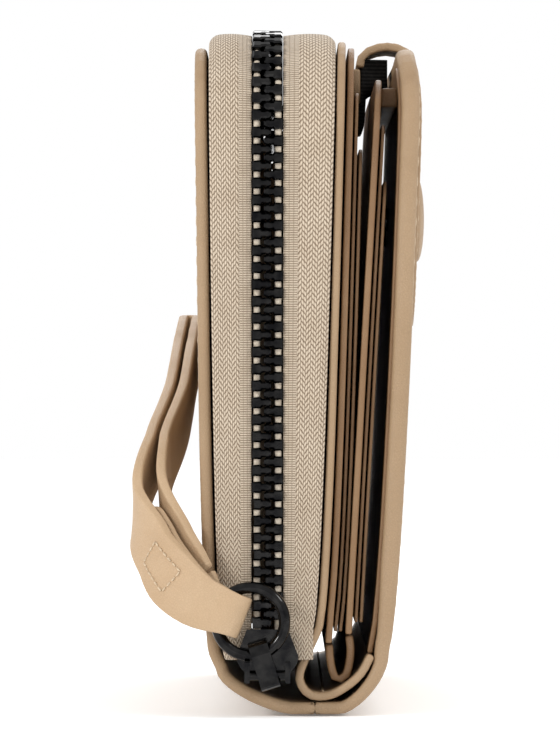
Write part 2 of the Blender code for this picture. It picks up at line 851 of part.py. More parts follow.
def make_pull():
    """The link from the slider's pin to the ring, leaning towards the ring."""
    length = (ring_eye - pin).length
    outline = []
    for step in range(25):
        turn = math.radians(180 * step / 12)
        upper = length if step <= 12 else 0.0
        outline.append(Vector((-link_outer * math.cos(turn), upper + link_outer * math.sin(turn))))
        if step == 12:
            outline.append(Vector((link_outer, 0.0)))
    outline.pop()
    rings = []
    for x in (-link_width / 2, link_width / 2):
        rings.append([Vector((x, p.x, p.y)) for p in outline])
    shape = loft(rings)
    lean = Matrix.Rotation(link_tilt, 3, "Y")
    bmesh.ops.rotate(shape, cent=(0, 0, 0), matrix=lean, verts=shape.verts)
    bmesh.ops.translate(shape, vec=pin, verts=shape.verts)
    link = add_piece("pull_link", "pull_link", "gunmetal", shape)
    across = lean @ Vector((1, 0, 0))
    for place, direction in ((pin, Vector((1, 0, 0))), (ring_eye, across)):
        reach = direction * link_width
        hole = rod(link_hole, place - reach, place + reach, 20)
        cut(link, add_piece("link_hole", "pull_link", "gunmetal", hole))

    shape = bmesh.new()
    circle = bmesh.ops.create_circle(shape, cap_ends=False, segments=10, radius=wire_radius)
    bmesh.ops.translate(shape, vec=(ring_radius, 0, 0), verts=circle["verts"])
    edges = list(shape.edges)
    quarter = Matrix.Rotation(math.pi / 2, 3, "X")
    bmesh.ops.rotate(shape, cent=(0, 0, 0), matrix=quarter, verts=shape.verts)
    bmesh.ops.spin(
        shape,
        geom=list(shape.verts) + edges,
        cent=(0, 0, 0),
        axis=(0, 0, 1),
        angle=2 * math.pi,
        steps=32,
        use_merge=True,
    )
    bmesh.ops.rotate(shape, cent=(0, 0, 0), matrix=quarter, verts=shape.verts)
    bmesh.ops.translate(shape, vec=ring_centre, verts=shape.verts)
    round_shading(add_piece("strap_ring", "ring", "gunmetal", shape))


def strap_frame(route, index):
    """The strap's direction, its width direction and its face's direction at a point of the route."""
    before = route[max(index - 1, 0)]
    after = route[min(index + 1, len(route) - 1)]
    along = (after - before).normalized()
    up = Vector((0, 0, 1))
    width = (up - up.dot(along) * along).normalized()
    return along, width, along.cross(width)


def make_strap():
    """One band from the ring, round the far turn and back, pressed together and sewn near the ring."""
    clear_x = front_top_x - strap_cover_gap - strap_leather / 2 - strap_far_loop
    grip_y = strap_grip.y
    fold_half = strap_width * strap_fold_share / 2
    fold_centre = math.sqrt(max(ring_radius**2 - fold_half**2, 0)) - gap
    route = smooth_through(
        [
            ring_centre + fold_centre * strap_direction,
            ring_centre + Vector((-ring_radius - 0.0022, 0.0, 0.0030)),
            ring_centre + Vector((-ring_radius - 0.0052, 0.0012, 0.0061)),
            ring_centre + Vector((-ring_radius - 0.0078, 0.0040, 0.0106)),
            ring_centre + Vector((-ring_radius - 0.0102, 0.0096, 0.0164)),
            ring_centre + Vector((-ring_radius - 0.0094, 0.0190, 0.0238)),
            Vector((clear_x - 0.0011, grip_y + 0.042, 0.0460)),
            Vector((clear_x - 0.0003, grip_y + 0.068, 0.0520)),
            Vector((clear_x, grip_y + 0.098, 0.0558)),
            Vector((clear_x, grip_y + 0.130, 0.0580)),
        ],
        5,
    )
    last = len(route) - 1
    middles = []
    walked = 0.0
    for index, point in enumerate(route):
        along, width, face = strap_frame(route, index)
        walked += (point - route[max(index - 1, 0)]).length
        narrowing = min(max((walked - strap_patch_to - 0.002) / 0.012, 0), 1)
        spread = strap_near_loop + (strap_far_loop - strap_near_loop) * narrowing
        middles.append((point, width, face, spread, walked))
    loop = []
    for point, width, face, spread, walked in middles:
        loop.append((point + spread * face, width, face))
    for step in range(1, 8):
        turn = math.radians(22.5 * step)
        along, width, face = strap_frame(route, last)
        place = route[-1] + strap_far_loop * (math.cos(turn) * face + math.sin(turn) * along)
        loop.append((place, width, math.cos(turn) * face + math.sin(turn) * along))
    for point, width, face, spread, walked in reversed(middles):
        loop.append((point - spread * face, width, -face))
    for step in range(1, 8):
        turn = math.radians(22.5 * step)
        along, width, face = strap_frame(route, 0)
        out = -math.cos(turn) * face - math.sin(turn) * along
        loop.append((route[0] + strap_near_loop * out, width, out))
    rings = []
    half_width = strap_width / 2
    half = strap_leather / 2
    for place, width, out in loop:
        reach = (place - ring_centre).length - fold_centre
        share = min(strap_fold_share + (1 - strap_fold_share) * max(reach / 0.010, 0), 1)
        ring = []
        for w, n in ((-1, -1), (1, -1), (1, 1), (-1, 1)):
            ring.append(place + w * share * half_width * width + n * half * out)
        rings.append(ring)
    add_piece("strap_band", "strap", "cover_leather", loft(rings, closed=True))

    patch = []
    for point, width, face, spread, walked in middles:
        if not strap_patch_from < walked < strap_patch_to:
            continue
        across = strap_patch_width * half_width * width
        deep = strap_patch_share * half * face
        near_side = [point - across - deep, point + across - deep]
        patch.append(near_side + [point + across + deep, point - across + deep])
    add_piece("strap_patch", "strap", "cover_leather", loft(patch))


def make_tab():
    """The strap that is sewn to the back page, arches over the flap and snaps on its outside."""
    half = tab_leather / 2
    root_x = page_a_right(cover_top) + gap + half
    hinge = body_origins["tab"][1]
    root_low = cover_top - tab_root_low_drop
    low = (root_x - half, -tab_width / 2, root_low)
    high = (root_x + half, tab_width / 2, hinge.z - gap)
    add_piece("tab_root", "back", "cover_leather", box(low, high))
    outer = shifted(flap_right, gap + half)
    arch_z = cover_top + tab_arch_rise
    arch_high = flap_right(cover_top)
    line = [
        (root_x, hinge.z),
        (root_x + 0.0005, arch_z - 0.0012),
        (root_x + 0.0028, arch_z),
        (arch_high - 0.0020, arch_z + 0.0001),
        (arch_high + 0.0005, arch_z - 0.0016),
        (outer(cover_top - 0.005), cover_top - 0.005),
        (outer(cover_top - 0.013), cover_top - 0.013),
        (outer(snap_z), snap_z),
        (outer(snap_z - 0.010), snap_z - 0.010),
        (outer(tab_tip_z), tab_tip_z),
    ]
    curve = smooth_through(line, 3)
    outline = sheet_outline(curve, half, half)
    tab = across_wallet(outline, -tab_width / 2, tab_width / 2)
    tab = add_piece("closure_tab", "tab", "cover_leather", tab)
    face_x = flap_right(snap_z) + gap
    hole = rod(cap_radius + gap, (face_x - 0.0012, 0, snap_z), (face_x + 0.004, 0, snap_z), 28)
    cut(tab, add_piece("cap_hole", "tab", "gunmetal", hole))
    socket_depth = stud_head + gap
    profile = [
        (face_x + 0.0001, stud_radius + gap),
        (face_x + 0.0001, socket_radius),
        (face_x + socket_depth, socket_radius),
        (face_x + socket_depth, stud_radius + gap),
    ]
    round_shading(add_piece("snap_socket", "tab", "gunmetal", turned_about_x(profile, (0, 0, snap_z))))
    cap_x = face_x + socket_depth + gap
    cap = dome_about_x((cap_x, 0, snap_z), cap_radius, 0.0004, cap_bulge)
    round_shading(add_piece("snap_cap", "tab", "cover_leather", cap))


start_empty_scene()
materials = make_materials()
bodies = make_bodies()
make_spine()
make_front_cover()
make_back_panel()
make_flap()
make_zip()
make_gussets()
make_coin_pocket()
make_slider()
make_pull()
make_strap()
make_tab()
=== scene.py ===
import math

import bmesh
import bpy
from mathutils import Matrix, Vector, noise


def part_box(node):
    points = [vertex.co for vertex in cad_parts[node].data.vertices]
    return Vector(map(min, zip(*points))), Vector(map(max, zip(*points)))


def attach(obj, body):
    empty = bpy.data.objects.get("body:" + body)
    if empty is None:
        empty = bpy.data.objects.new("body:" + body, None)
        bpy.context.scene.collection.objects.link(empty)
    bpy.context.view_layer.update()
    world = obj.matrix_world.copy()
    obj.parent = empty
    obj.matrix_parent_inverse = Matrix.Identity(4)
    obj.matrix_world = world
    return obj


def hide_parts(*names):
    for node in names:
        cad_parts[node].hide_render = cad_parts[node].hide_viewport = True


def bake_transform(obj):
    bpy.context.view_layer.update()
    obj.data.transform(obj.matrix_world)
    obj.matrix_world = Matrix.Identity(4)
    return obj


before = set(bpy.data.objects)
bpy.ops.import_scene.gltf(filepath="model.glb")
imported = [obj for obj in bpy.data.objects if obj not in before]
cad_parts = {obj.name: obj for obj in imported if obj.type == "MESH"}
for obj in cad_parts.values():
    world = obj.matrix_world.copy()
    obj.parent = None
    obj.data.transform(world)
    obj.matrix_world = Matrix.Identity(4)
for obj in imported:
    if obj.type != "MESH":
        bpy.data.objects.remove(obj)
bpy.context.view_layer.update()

# ---------------------------------------------------------------------------------------------
# Studio. A long lens level with the middle of the wallet's near end, a white floor and a white world,
# and large soft lamps, so that the leather reads soft.

scene = bpy.context.scene
scene.view_settings.view_transform = "Standard"

near_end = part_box("front_cover")[0][1]
camera_distance = 1.03
camera_x = -0.00496
camera_z = 0.0529
camera_data = bpy.data.cameras.new("camera")
camera_data.lens = 320
camera_data.clip_end = 20
camera = bpy.data.objects.new("camera", camera_data)
camera.location = (camera_x, near_end - camera_distance, camera_z)
camera.rotation_euler = (math.radians(90), 0, 0)
scene.collection.objects.link(camera)
scene.camera = camera

world = bpy.data.worlds.new("studio")
world.use_nodes = True
backdrop = world.node_tree.nodes["Background"]
backdrop.inputs["Color"].default_value = (1.0, 1.0, 1.0, 1)
backdrop.inputs["Strength"].default_value = 1.0
scene.world = world


def soft_lamp(name, place, size, watts):
    """A square soft lamp that faces the wallet's middle."""
    data = bpy.data.lights.new(name, "AREA")
    data.size = size
    data.energy = watts
    lamp = bpy.data.objects.new(name, data)
    lamp.location = place
    lamp.rotation_euler = (Vector((0, 0, 0.05)) - Vector(place)).to_track_quat("-Z", "Y").to_euler()
    scene.collection.objects.link(lamp)


soft_lamp("lamp_left", (-0.60, -0.55, 0.40), 0.14, 2.6)
soft_lamp("lamp_right", (0.60, -0.35, 0.50), 0.20, 1.6)
soft_lamp("lamp_back", (0.10, 0.75, 0.55), 0.50, 2.0)

floor_drop = 0.0003
floor_shape = bmesh.new()
bmesh.ops.create_grid(floor_shape, x_segments=1, y_segments=1, size=3.0)
bmesh.ops.translate(floor_shape, vec=(0, 0, -floor_drop), verts=floor_shape.verts)
floor_mesh = bpy.data.meshes.new("floor")
floor_shape.to_mesh(floor_mesh)
floor_shape.free()
floor_paint = bpy.data.materials.new("floor_paint")
floor_paint.use_nodes = True
floor_sockets = floor_paint.node_tree.nodes["Principled BSDF"].inputs
floor_sockets["Base Color"].default_value = (0.985, 0.985, 0.985, 1)
floor_sockets["Roughness"].default_value = 0.9
floor_sockets["Emission Color"].default_value = (1, 1, 1, 1)
floor_sockets["Emission Strength"].default_value = 0.12
floor_mesh.materials.append(floor_paint)
floor = bpy.data.objects.new("floor", floor_mesh)
scene.collection.objects.link(floor)

# ---------------------------------------------------------------------------------------------
# Cover leather: calf leather, tan, with a fine pressed grain, turned over at its edges. The front
# cover is cut flat with its half of the spine, skived, then folded up round the compartment.

leather_tan = (0.335, 0.226, 0.130, 1)
leather_deep = (0.298, 0.194, 0.108, 1)
leather_pale = (0.366, 0.252, 0.150, 1)
grain_size = 0.00038


class Nodes:
    """Short calls for the nodes of one material."""

    def __init__(self, name):
        self.material = bpy.data.materials.new(name)
        self.material.use_nodes = True
        self.tree = self.material.node_tree
        self.shader = self.tree.nodes["Principled BSDF"]

    def new(self, kind, **values):
        node = self.tree.nodes.new("ShaderNode" + kind)
        for key, value in values.items():
            setattr(node, key, value)
        return node

    def link(self, source, target):
        self.tree.links.new(source, target)

    def feed(self, socket, value):
        if isinstance(value, (int, float, tuple)):
            socket.default_value = value
        else:
            self.link(value, socket)

    def math(self, operation, first, second=0.0, third=0.0):
        node = self.new("Math", operation=operation)
        for socket, value in zip(node.inputs, (first, second, third)):
            self.feed(socket, value)
        return node.outputs[0]

    def object_place(self):
        return self.new("TexCoord").outputs["Object"]

    def uv(self):
        split = self.new("SeparateXYZ")
        self.link(self.new("UVMap", uv_map="flat").outputs["UV"], split.inputs[0])
        return split.outputs[0], split.outputs[1]

    def noise(self, place, scale, detail=3.0, roughness=0.55):
        node = self.new("TexNoise")
        self.link(place, node.inputs["Vector"])
        node.inputs["Scale"].default_value = scale
        node.inputs["Detail"].default_value = detail
        node.inputs["Roughness"].default_value = roughness
        return node.outputs["Fac"]

    def cells(self, place, scale):
        node = self.new("TexVoronoi", feature="DISTANCE_TO_EDGE")
        self.link(place, node.inputs["Vector"])
        node.inputs["Scale"].default_value = scale
        return node.outputs["Distance"]

    def ramp(self, value, stops):
        node = self.new("ValToRGB")
        self.link(value, node.inputs[0])
        while len(node.color_ramp.elements) < len(stops):
            node.color_ramp.elements.new(0.5)
        for element, (place, colour) in zip(node.color_ramp.elements, stops):
            element.position = place
            element.color = colour
        return node.outputs["Color"]

    def mix(self, share, first, second, blend="MIX"):
        node = self.new("Mix", data_type="RGBA", blend_type=blend)
        self.feed(node.inputs["Factor"], share)
        self.feed(node.inputs["A"], first)
        self.feed(node.inputs["B"], second)
        return node.outputs["Result"]

    def bump(self, height, depth, before=None):
        node = self.new("Bump")
        node.inputs["Distance"].default_value = depth
        self.link(height, node.inputs["Height"])
        if before:
            self.link(before, node.inputs["Normal"])
        return node.outputs["Normal"]

    def made(self, colour, roughness, normal, **constants):
        """Feeds the shader and gives the material. Other sockets are named with _ for each space."""
        for name, value in (("Base Color", colour), ("Roughness", roughness), ("Normal", normal)):
            self.feed(self.shader.inputs[name], value)
        for name, value in constants.items():
            self.shader.inputs[name.replace("_", " ")].default_value = value
        return self.material

    def remap(self, value, low, high, new_low, new_high):
        node = self.new("MapRange")
        self.link(value, node.inputs["Value"])
        limits = {"From Min": low, "From Max": high, "To Min": new_low, "To Max": new_high}
        for key, number in limits.items():
            node.inputs[key].default_value = number
        return node.outputs["Result"]


def leather(name, middle, deep, pale, gloss=0.50):
    """Pressed-grain leather: pebbles, fine pores, cloudy dye, and a deeper tone down in creases."""
    n = Nodes(name)
    place = n.object_place()
    pebbles = n.cells(place, 1 / grain_size)
    pores = n.noise(place, 2200, 2.0)
    clouds = n.noise(place, 45, 4.0, 0.6)
    wrinkles = n.noise(place, 260, 3.0, 0.7)
    colour = n.ramp(clouds, ((0.22, deep), (0.50, middle), (0.82, pale)))
    hollows = n.remap(pebbles, 0.0, 0.22, 0, 1)
    dark = n.ramp(hollows, ((0.0, (0.74, 0.70, 0.66, 1)), (0.75, (1, 1, 1, 1))))
    colour = n.mix(0.32, colour, dark, "MULTIPLY")
    rim = n.new("Attribute", attribute_name="crease").outputs["Fac"]
    colour = n.mix(rim, colour, (deep[0] * 0.72, deep[1] * 0.68, deep[2] * 0.62, 1))
    roughness = n.remap(clouds, 0.3, 0.7, gloss + 0.06, gloss - 0.05)
    normal = n.bump(n.remap(pebbles, 0.0, 0.30, 0, 1), 0.000035)
    normal = n.bump(pores, 0.000018, normal)
    normal = n.bump(wrinkles, 0.00010, normal)
    return n.made(colour, roughness, normal, Specular_IOR_Level=0.38)


tan_leather = leather("tan_leather", leather_tan, leather_deep, leather_pale)


def flat_cut(
    length,
    half_width,
    thickness,
    edge_round,
    start_corner,
    end_corner,
    along=0.004,
    across=0.006,
    butt=False,
):
    """A flat blank with rounded edges: X is its thickness, Y its width, Z its length.

    A butt start stays square."""
    blank = bmesh.new()
    outline = []
    starts = ((-1, 0.0, start_corner), (1, 0.0, start_corner))
    ends = ((1, length, end_corner), (-1, length, end_corner))
    for side, base, corner in starts + ends:
        inward = 1 if base == 0.0 else -1
        centre = Vector((0, side * (half_width - corner), base + inward * corner))
        steps = 8 if corner > 0.002 else 3
        turns = range(steps + 1) if (side == -1) == (base == 0.0) else range(steps, -1, -1)
        for step in turns:
            turn = math.radians(90 * step / steps)
            arc = Vector((0, side * math.cos(turn), -inward * math.sin(turn)))
            outline.append(blank.verts.new(centre + corner * arc))
    face = blank.faces.new(outline)
    raised = bmesh.ops.extrude_face_region(blank, geom=[face])
    top = [item for item in raised["geom"] if isinstance(item, bmesh.types.BMVert)]
    bmesh.ops.translate(blank, vec=(thickness, 0, 0), verts=top)
    bmesh.ops.remove_doubles(blank, verts=blank.verts, dist=1e-6)
    rims = []
    for edge in blank.edges:
        one, other = edge.verts
        if abs(one.co.x - other.co.x) < 1e-7 and not (butt and max(one.co.z, other.co.z) < 1e-6):
            rims.append(edge)
    bmesh.ops.bevel(
        blank, geom=rims, offset=edge_round, segments=4, profile=0.5, affect="EDGES", material=-1
    )
    for axis, span, step in ((2, (0.0, length), along), (1, (-half_width, half_width), across)):
        count = max(int((span[1] - span[0]) / step), 1)
        for number in range(1, count):
            normal = Vector((0, 0, 0))
            normal[axis] = 1
            place = normal * (span[0] + (span[1] - span[0]) * number / count)
            everything = blank.verts[:] + blank.edges[:] + blank.faces[:]
            bmesh.ops.bisect_plane(blank, geom=everything, dist=1e-7, plane_co=place, plane_no=normal)
    return blank


def finish_piece(
    name, shape, material, body, node_names=(), place=None, crease=None
):
    """Bends the flat shape into place, keeps its flat pattern as UV, and hangs it on its body when that is a
    name; a piece given a tuple of two bodies is left on none.
    """
    flat = shape.loops.layers.uv.new("flat")
    for face in shape.faces:
        for corner in face.loops:
            corner[flat].uv = (corner.vert.co.y, corner.vert.co.z)
    depth = shape.verts.layers.float.new("crease")
    for vert in shape.verts:
        if crease:
            vert[depth] = crease(vert.co)
        if place:
            vert.co = place(vert.co)
    bmesh.ops.recalc_face_normals(shape, faces=shape.faces)
    mesh = bpy.data.meshes.new(name)
    shape.to_mesh(mesh)
    shape.free()
    mesh.shade_smooth()
    mesh.materials.append(material)
    piece = bpy.data.objects.new(name, mesh)
    scene.collection.objects.link(piece)
    if isinstance(body, str):
        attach(piece, body)
    else:
        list(body)
        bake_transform(piece)
    if node_names:
        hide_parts(*node_names)
    return piece


class Line:
    """A line of (x, z) points, by distance along it, with the direction across it."""

    def __init__(self, points):
        self.points = [Vector((p[0], p[1])) for p in points]
        self.marks = [0.0]
        for before, after in zip(self.points, self.points[1:]):
            self.marks.append(self.marks[-1] + (after - before).length)
        self.length = self.marks[-1]
        self.across = []
        for index in range(len(self.points)):
            before = self.points[max(index - 1, 0)]
            after = self.points[min(index + 1, len(self.points) - 1)]
            along = (after - before).normalized()
            self.across.append(Vector((-along.y, along.x)))

    def at(self, distance):
        index = 0
        while index < len(self.marks) - 2 and self.marks[index + 1] < distance:
            index += 1
        share = (distance - self.marks[index]) / (self.marks[index + 1] - self.marks[index])
        point = self.points[index].lerp(self.points[index + 1], share)
        across = self.across[index].lerp(self.across[index + 1], min(max(share, 0), 1))
        return point, across.normalized()


def smooth_through(points, count):
    """A smooth curve through the points, with count stretches between each two."""
    points = [Vector(point) for point in points]
    ends = [2 * points[0] - points[1]] + points + [2 * points[-1] - points[-2]]
    curve = []
    for before, here, after, beyond in zip(ends, ends[1:], ends[2:], ends[3:]):
        for step in range(count):
            t = step / count
            curve.append(
                0.5
                * (
                    2 * here
                    + (after - before) * t
                    + (2 * before - 5 * here + 4 * after - beyond) * t * t
                    + (3 * here - before - 3 * after + beyond) * t**3
                )
            )
    return curve + [points[-1]]


def levels_of(node):
    """The lowest and highest X, and the highest Y, of an upright CAD layer at each of its levels."""
    found = {}
    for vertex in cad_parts[node].data.vertices:
        x, y, z = vertex.co
        low, high, half = found.get(round(z, 5), (x, x, y))
        found[round(z, 5)] = (min(low, x), max(high, x), max(half, y))
    return sorted((z, *values) for z, values in found.items())


def x_at(node, side):
    """The X of one face of an upright CAD layer at each height: side 0 is its low X, 1 its high."""
    levels = levels_of(node)

    def x(z):
        index = 0
        while index < len(levels) - 2 and levels[index + 1][0] < z:
            index += 1
        low, high = levels[index], levels[index + 1]
        share = min(max((z - low[0]) / (high[0] - low[0]), 0), 1)
        return low[1 + side] + (high[1 + side] - low[1 + side]) * share

    return x


def face_line(node, side, count=26):
    """The points (x, z) up one face of an upright CAD layer."""
    low_z, high_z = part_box(node)[0][2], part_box(node)[1][2]
    x = x_at(node, side)
    heights = [low_z + (high_z - low_z) * (step / count) ** 1.4 for step in range(count + 1)]
    return [Vector((x(z), z)) for z in heights]


def bent_along(line, offset=0.0, wave=0.0, seed=0.0):
    """Places a flat blank along a line, its thickness to the left of the way the line goes."""

    def place(co):
        point, across = line.at(co.z)
        ripple = wave * noise.noise(Vector((co.y * 28 + seed, co.z * 28, seed)))
        point = point + across * (co.x + offset + ripple)
        return Vector((point.x, co.y, point.y))

    return place


def ring_crease(length, half_width, inset, width, depth=0.5):
    """Darkens the pressed line that runs so far inside a blank's rim."""

    def crease(co):
        rim = min(half_width - abs(co.y), length - co.z)
        return depth * math.exp(-(((rim - inset) / width) ** 2))

    return crease


wallet_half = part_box("front_cover")[1][1]
cover_corner = 0.0135
edge_round = 0.00085
butt_corner = 0.00005
ripple_fade = 0.012
spine_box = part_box("spine_cover")
fold_left = Vector((spine_box[0][0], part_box("front_cover")[0][2]))
base_left = Vector((-0.0034, 0.0))
base_right = Vector((0.0043, 0.0))
base_middle = (base_left + base_right) / 2


def bezier(start, start_handle, end_handle, end, count):
    """Points along a cubic curve, both ends included."""
    points = []
    for step in range(count + 1):
        t = step / count
        u = 1 - t
        pulls = 3 * u * u * t * start_handle + 3 * u * t * t * end_handle
        points.append(u**3 * start + pulls + t**3 * end)
    return points


left_wrap = bezier(
    base_left, base_left + Vector((-0.0050, 0.0007)), fold_left + Vector((0, -0.0026)), fold_left, 20
)
cover_thickness = 0.0019
front_line = Line([base_middle] + left_wrap + face_line("front_cover", 0)[1:])
front_blank = flat_cut(
    front_line.length,
    wallet_half,
    cover_thickness,
    edge_round,
    butt_corner,
    cover_corner,
    along=0.0012,
    butt=True,
)


def inward(line, wave=0.0, seed=0.0):
    """As bent_along, but with the thickness to the right, and no ripple at the start."""

    def place(co):
        point, across = line.at(co.z)
        height = wave * min(co.z / ripple_fade, 1)
        ripple = height * noise.noise(Vector((co.y * 28 + seed, co.z * 28, seed)))
        point = point - across * (co.x + ripple)
        return Vector((point.x, co.y, point.y))

    return place


def fold_blend(body, fold):
    """The stretch of leather, from below to above a fold, between the back and a body."""
    reach = 0.007
    return ("back", body, (fold.x, 0, fold.y - reach / 2), (fold.x, 0, fold.y + reach / 2))


finish_piece(
    "front_cover_leather",
    front_blank,
    tan_leather,
    fold_blend("front", fold_left),
    ["front_cover"],
    inward(front_line, 0.00012, 3.0),
    ring_crease(front_line.length, wallet_half, 0.0030, 0.0004, 0.35),
)

# ---------------------------------------------------------------------------------------------
# Flap: the other end of the same cover leather, folded up round the bill pocket, over a stiffener,
# so that its turned edge is the thickest of all.

flap_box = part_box("flap_cover")
flap_fold = Vector((spine_box[1][0], flap_box[0][2]))
flap_corner = 0.0135
right_wrap = bezier(
    base_right,
    base_right + Vector((0.0026, 0)),
    flap_fold + Vector((0, -0.0042)),
    flap_fold + Vector((-0.0001, 0)),
    20,
)
flap_line = Line([base_middle] + right_wrap + face_line("flap_cover", 1)[1:])
flap_half = flap_box[1][1]
spine_leather = 0.0019
flap_leather = 0.0022


def flap_place(co):
    """The blank thickens from the spine to the flap, where the stiffener and the turning lie."""
    point, across = flap_line.at(co.z)
    wrap_length = 0.022
    share = min(max((co.z - 0.008) / wrap_length, 0), 1)
    thick = spine_leather + (flap_leather + 0.0006 - spine_leather) * share
    height = 0.00014 * min(co.z / ripple_fade, 1)
    ripple = height * noise.noise(Vector((co.y * 26, co.z * 26, 9.0)))
    point = point + across * (co.x / spine_leather * thick + ripple)
    return Vector((point.x, co.y, point.y))


flap_blank = flat_cut(
    flap_line.length,
    flap_half,
    spine_leather,
    edge_round,
    butt_corner,
    flap_corner,
    along=0.0012,
    butt=True,
)
finish_piece(
    "flap_leather",
    flap_blank,
    tan_leather,
    fold_blend("flap", flap_fold),
    ["flap_cover", "spine_cover"],
    flap_place,
    ring_crease(flap_line.length, flap_half, 0.0030, 0.0004, 0.35),
)

# ---------------------------------------------------------------------------------------------
# Zip tapes: polyester tape, woven in a rice-grain herringbone with a ribbed band beside the chain,
# sewn between the cover and the back panel round both ends and the top. A cord runs in each edge.

zip_centre = -0.0069
chain_half = 0.00235
tape_thickness = 0.0009
tape_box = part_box("front_zip_tape")
tape_low = tape_box[0][2]
tape_top = tape_box[1][2] - tape_thickness / 2
tape_half = tape_box[1][1] - tape_thickness / 2
tape_corner = 0.0150
tape_width = 0.0082
tape_shoulder = 0.0019
tape_shoulder_drop_top = 0.0014
tape_shoulder_drop_ends = 0.0006
tape_crown = 0.00035
cord_radius = 0.00055
cord_place = 0.00165
cover_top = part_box("front_cover")[1][2]
seam_gap = 0.0003
grain_width = 0.00046
grain_length = 0.00088
rib_pitch = 0.00037
ribbed_band = 0.0025


def zip_point(distance, low_z=tape_low):
    """The place on the zip's way round the wallet, and the outward direction there."""
    rise = tape_top - tape_corner - low_z
    turn_length = tape_corner * math.pi / 2
    run = 2 * (tape_half - tape_corner)
    total = 2 * rise + 2 * turn_length + run
    side = -1 if distance <= total / 2 else 1
    distance = min(distance, total - distance)
    if distance <= rise:
        return Vector((0, side * tape_half, low_z + distance)), Vector((0, side, 0))
    if distance <= rise + turn_length:
        turn = (distance - rise) / tape_corner
        out = Vector((0, side * math.cos(turn), math.sin(turn)))
        centre = Vector((0, side * (tape_half - tape_corner), tape_top - tape_corner))
        return centre + tape_corner * out, out
    along = distance - rise - turn_length
    return Vector((0, side * (tape_half - tape_corner - along), tape_top)), Vector((0, 0, 1))


def zip_length(low_z=tape_low):
    rise = tape_top - tape_corner - low_z
    return 2 * rise + math.pi * tape_corner + 2 * (tape_half - tape_corner)


def tape_cloth(name, half):
    """Rice-grain herringbone, with cross ribs in the band beside the chain. Its colour follows the weave's
    height: painted shade in the gaps and grooves, painted highlight on the raised grains.
    """
    n = Nodes(name)
    across, along = n.uv()
    column = n.math("FLOOR", n.math("DIVIDE", across, grain_width))
    odd = n.math("MULTIPLY", n.math("FRACT", n.math("MULTIPLY", column, 0.5)), 2.0)
    zone = n.math("FLOOR", n.math("DIVIDE", across, 2 * grain_width))
    lean = n.math("MULTIPLY_ADD", n.math("FRACT", n.math("MULTIPLY", zone, 0.5)), 4.0, -1.0)
    u = n.math("SUBTRACT", n.math("FRACT", n.math("DIVIDE", across, grain_width)), 0.5)
    shifted = n.math("MULTIPLY_ADD", odd, 0.5, n.math("DIVIDE", along, grain_length))
    v = n.math("SUBTRACT", n.math("FRACT", shifted), 0.5)
    leaning = n.math("MULTIPLY_ADD", n.math("MULTIPLY", v, lean), 0.50, u)
    u_part = n.math("POWER", n.math("ABSOLUTE", n.math("DIVIDE", leaning, 0.56)), 2.0)
    v_part = n.math("POWER", n.math("ABSOLUTE", n.math("DIVIDE", v, 0.55)), 2.0)
    grains = n.remap(n.math("ADD", u_part, v_part), 0.15, 1.0, 1.0, 0.0)
    rib = n.math("SUBTRACT", n.math("FRACT", n.math("DIVIDE", along, rib_pitch)), 0.5)
    rib = n.remap(n.math("ABSOLUTE", rib), 0.12, 0.5, 1.0, 0.0)
    groove = n.math("SUBTRACT", n.math("FRACT", n.math("DIVIDE", across, 0.00078)), 0.5)
    groove = n.remap(n.math("ABSOLUTE", groove), 0.36, 0.48, 1.0, 0.35)
    ribs = n.math("MULTIPLY", rib, groove)
    beside_chain = n.math("GREATER_THAN", across, half - ribbed_band)
    height = n.mix(beside_chain, grains, ribs)
    # The tape's own weave colour, darkened in the low gaps as painted shade and lightened on the raised
    # grains as painted highlight.
    weave = n.ramp(
        height,
        (
            (0.0, (0.215, 0.155, 0.102, 1)),
            (0.35, (0.430, 0.345, 0.255, 1)),
            (1.0, (0.620, 0.520, 0.405, 1)),
        ),
    )
    clouds = n.noise(n.object_place(), 320, 3.0)
    tint = n.ramp(clouds, ((0.3, (0.90, 0.88, 0.86, 1)), (0.7, (1.0, 1.0, 1.0, 1))))
    return n.made(
        n.mix(1.0, weave, tint, "MULTIPLY"),
        0.78,
        n.bump(height, 0.00016, n.bump(clouds, 0.00006)),
        Sheen_Weight=0.15,
        Sheen_Roughness=0.4,
        Specular_IOR_Level=0.25,
    )


zip_cloth = tape_cloth("zip_cloth", tape_width / 2)


def cord_cloth(name):
    """The plain, paler cord that the teeth are clamped to."""
    n = Nodes(name)
    threads = n.noise(n.object_place(), 1800, 2.0)
    colour = n.ramp(threads, ((0.3, (0.42, 0.35, 0.27, 1)), (0.7, (0.66, 0.58, 0.47, 1))))
    return n.made(colour, 0.8, n.bump(threads, 0.0001))


cord_thread = cord_cloth("cord_thread")


def tape_place(cover_x, chain_edge):
    """Wraps a flat tape round the wallet, with a rounded shoulder where it dips beside the cover."""

    def place(co):
        share = co.y / tape_width + 0.5
        point, out = zip_point(min(max(co.z, 0), zip_length()))
        edge = cover_x(min(point.z, cover_top))
        reach = share * tape_width
        lift = tape_crown * math.sin(math.pi * share)
        if reach < tape_shoulder:
            deepening = tape_shoulder_drop_top - tape_shoulder_drop_ends
            drop = tape_shoulder_drop_ends + deepening * out.z
            lift -= drop * (1 - math.sqrt(max(1 - (1 - reach / tape_shoulder) ** 2, 0)))
        x = edge + (chain_edge - edge) * share
        return Vector((x, 0, 0)) + point + out * (co.x - tape_thickness / 2 + lift)

    return place


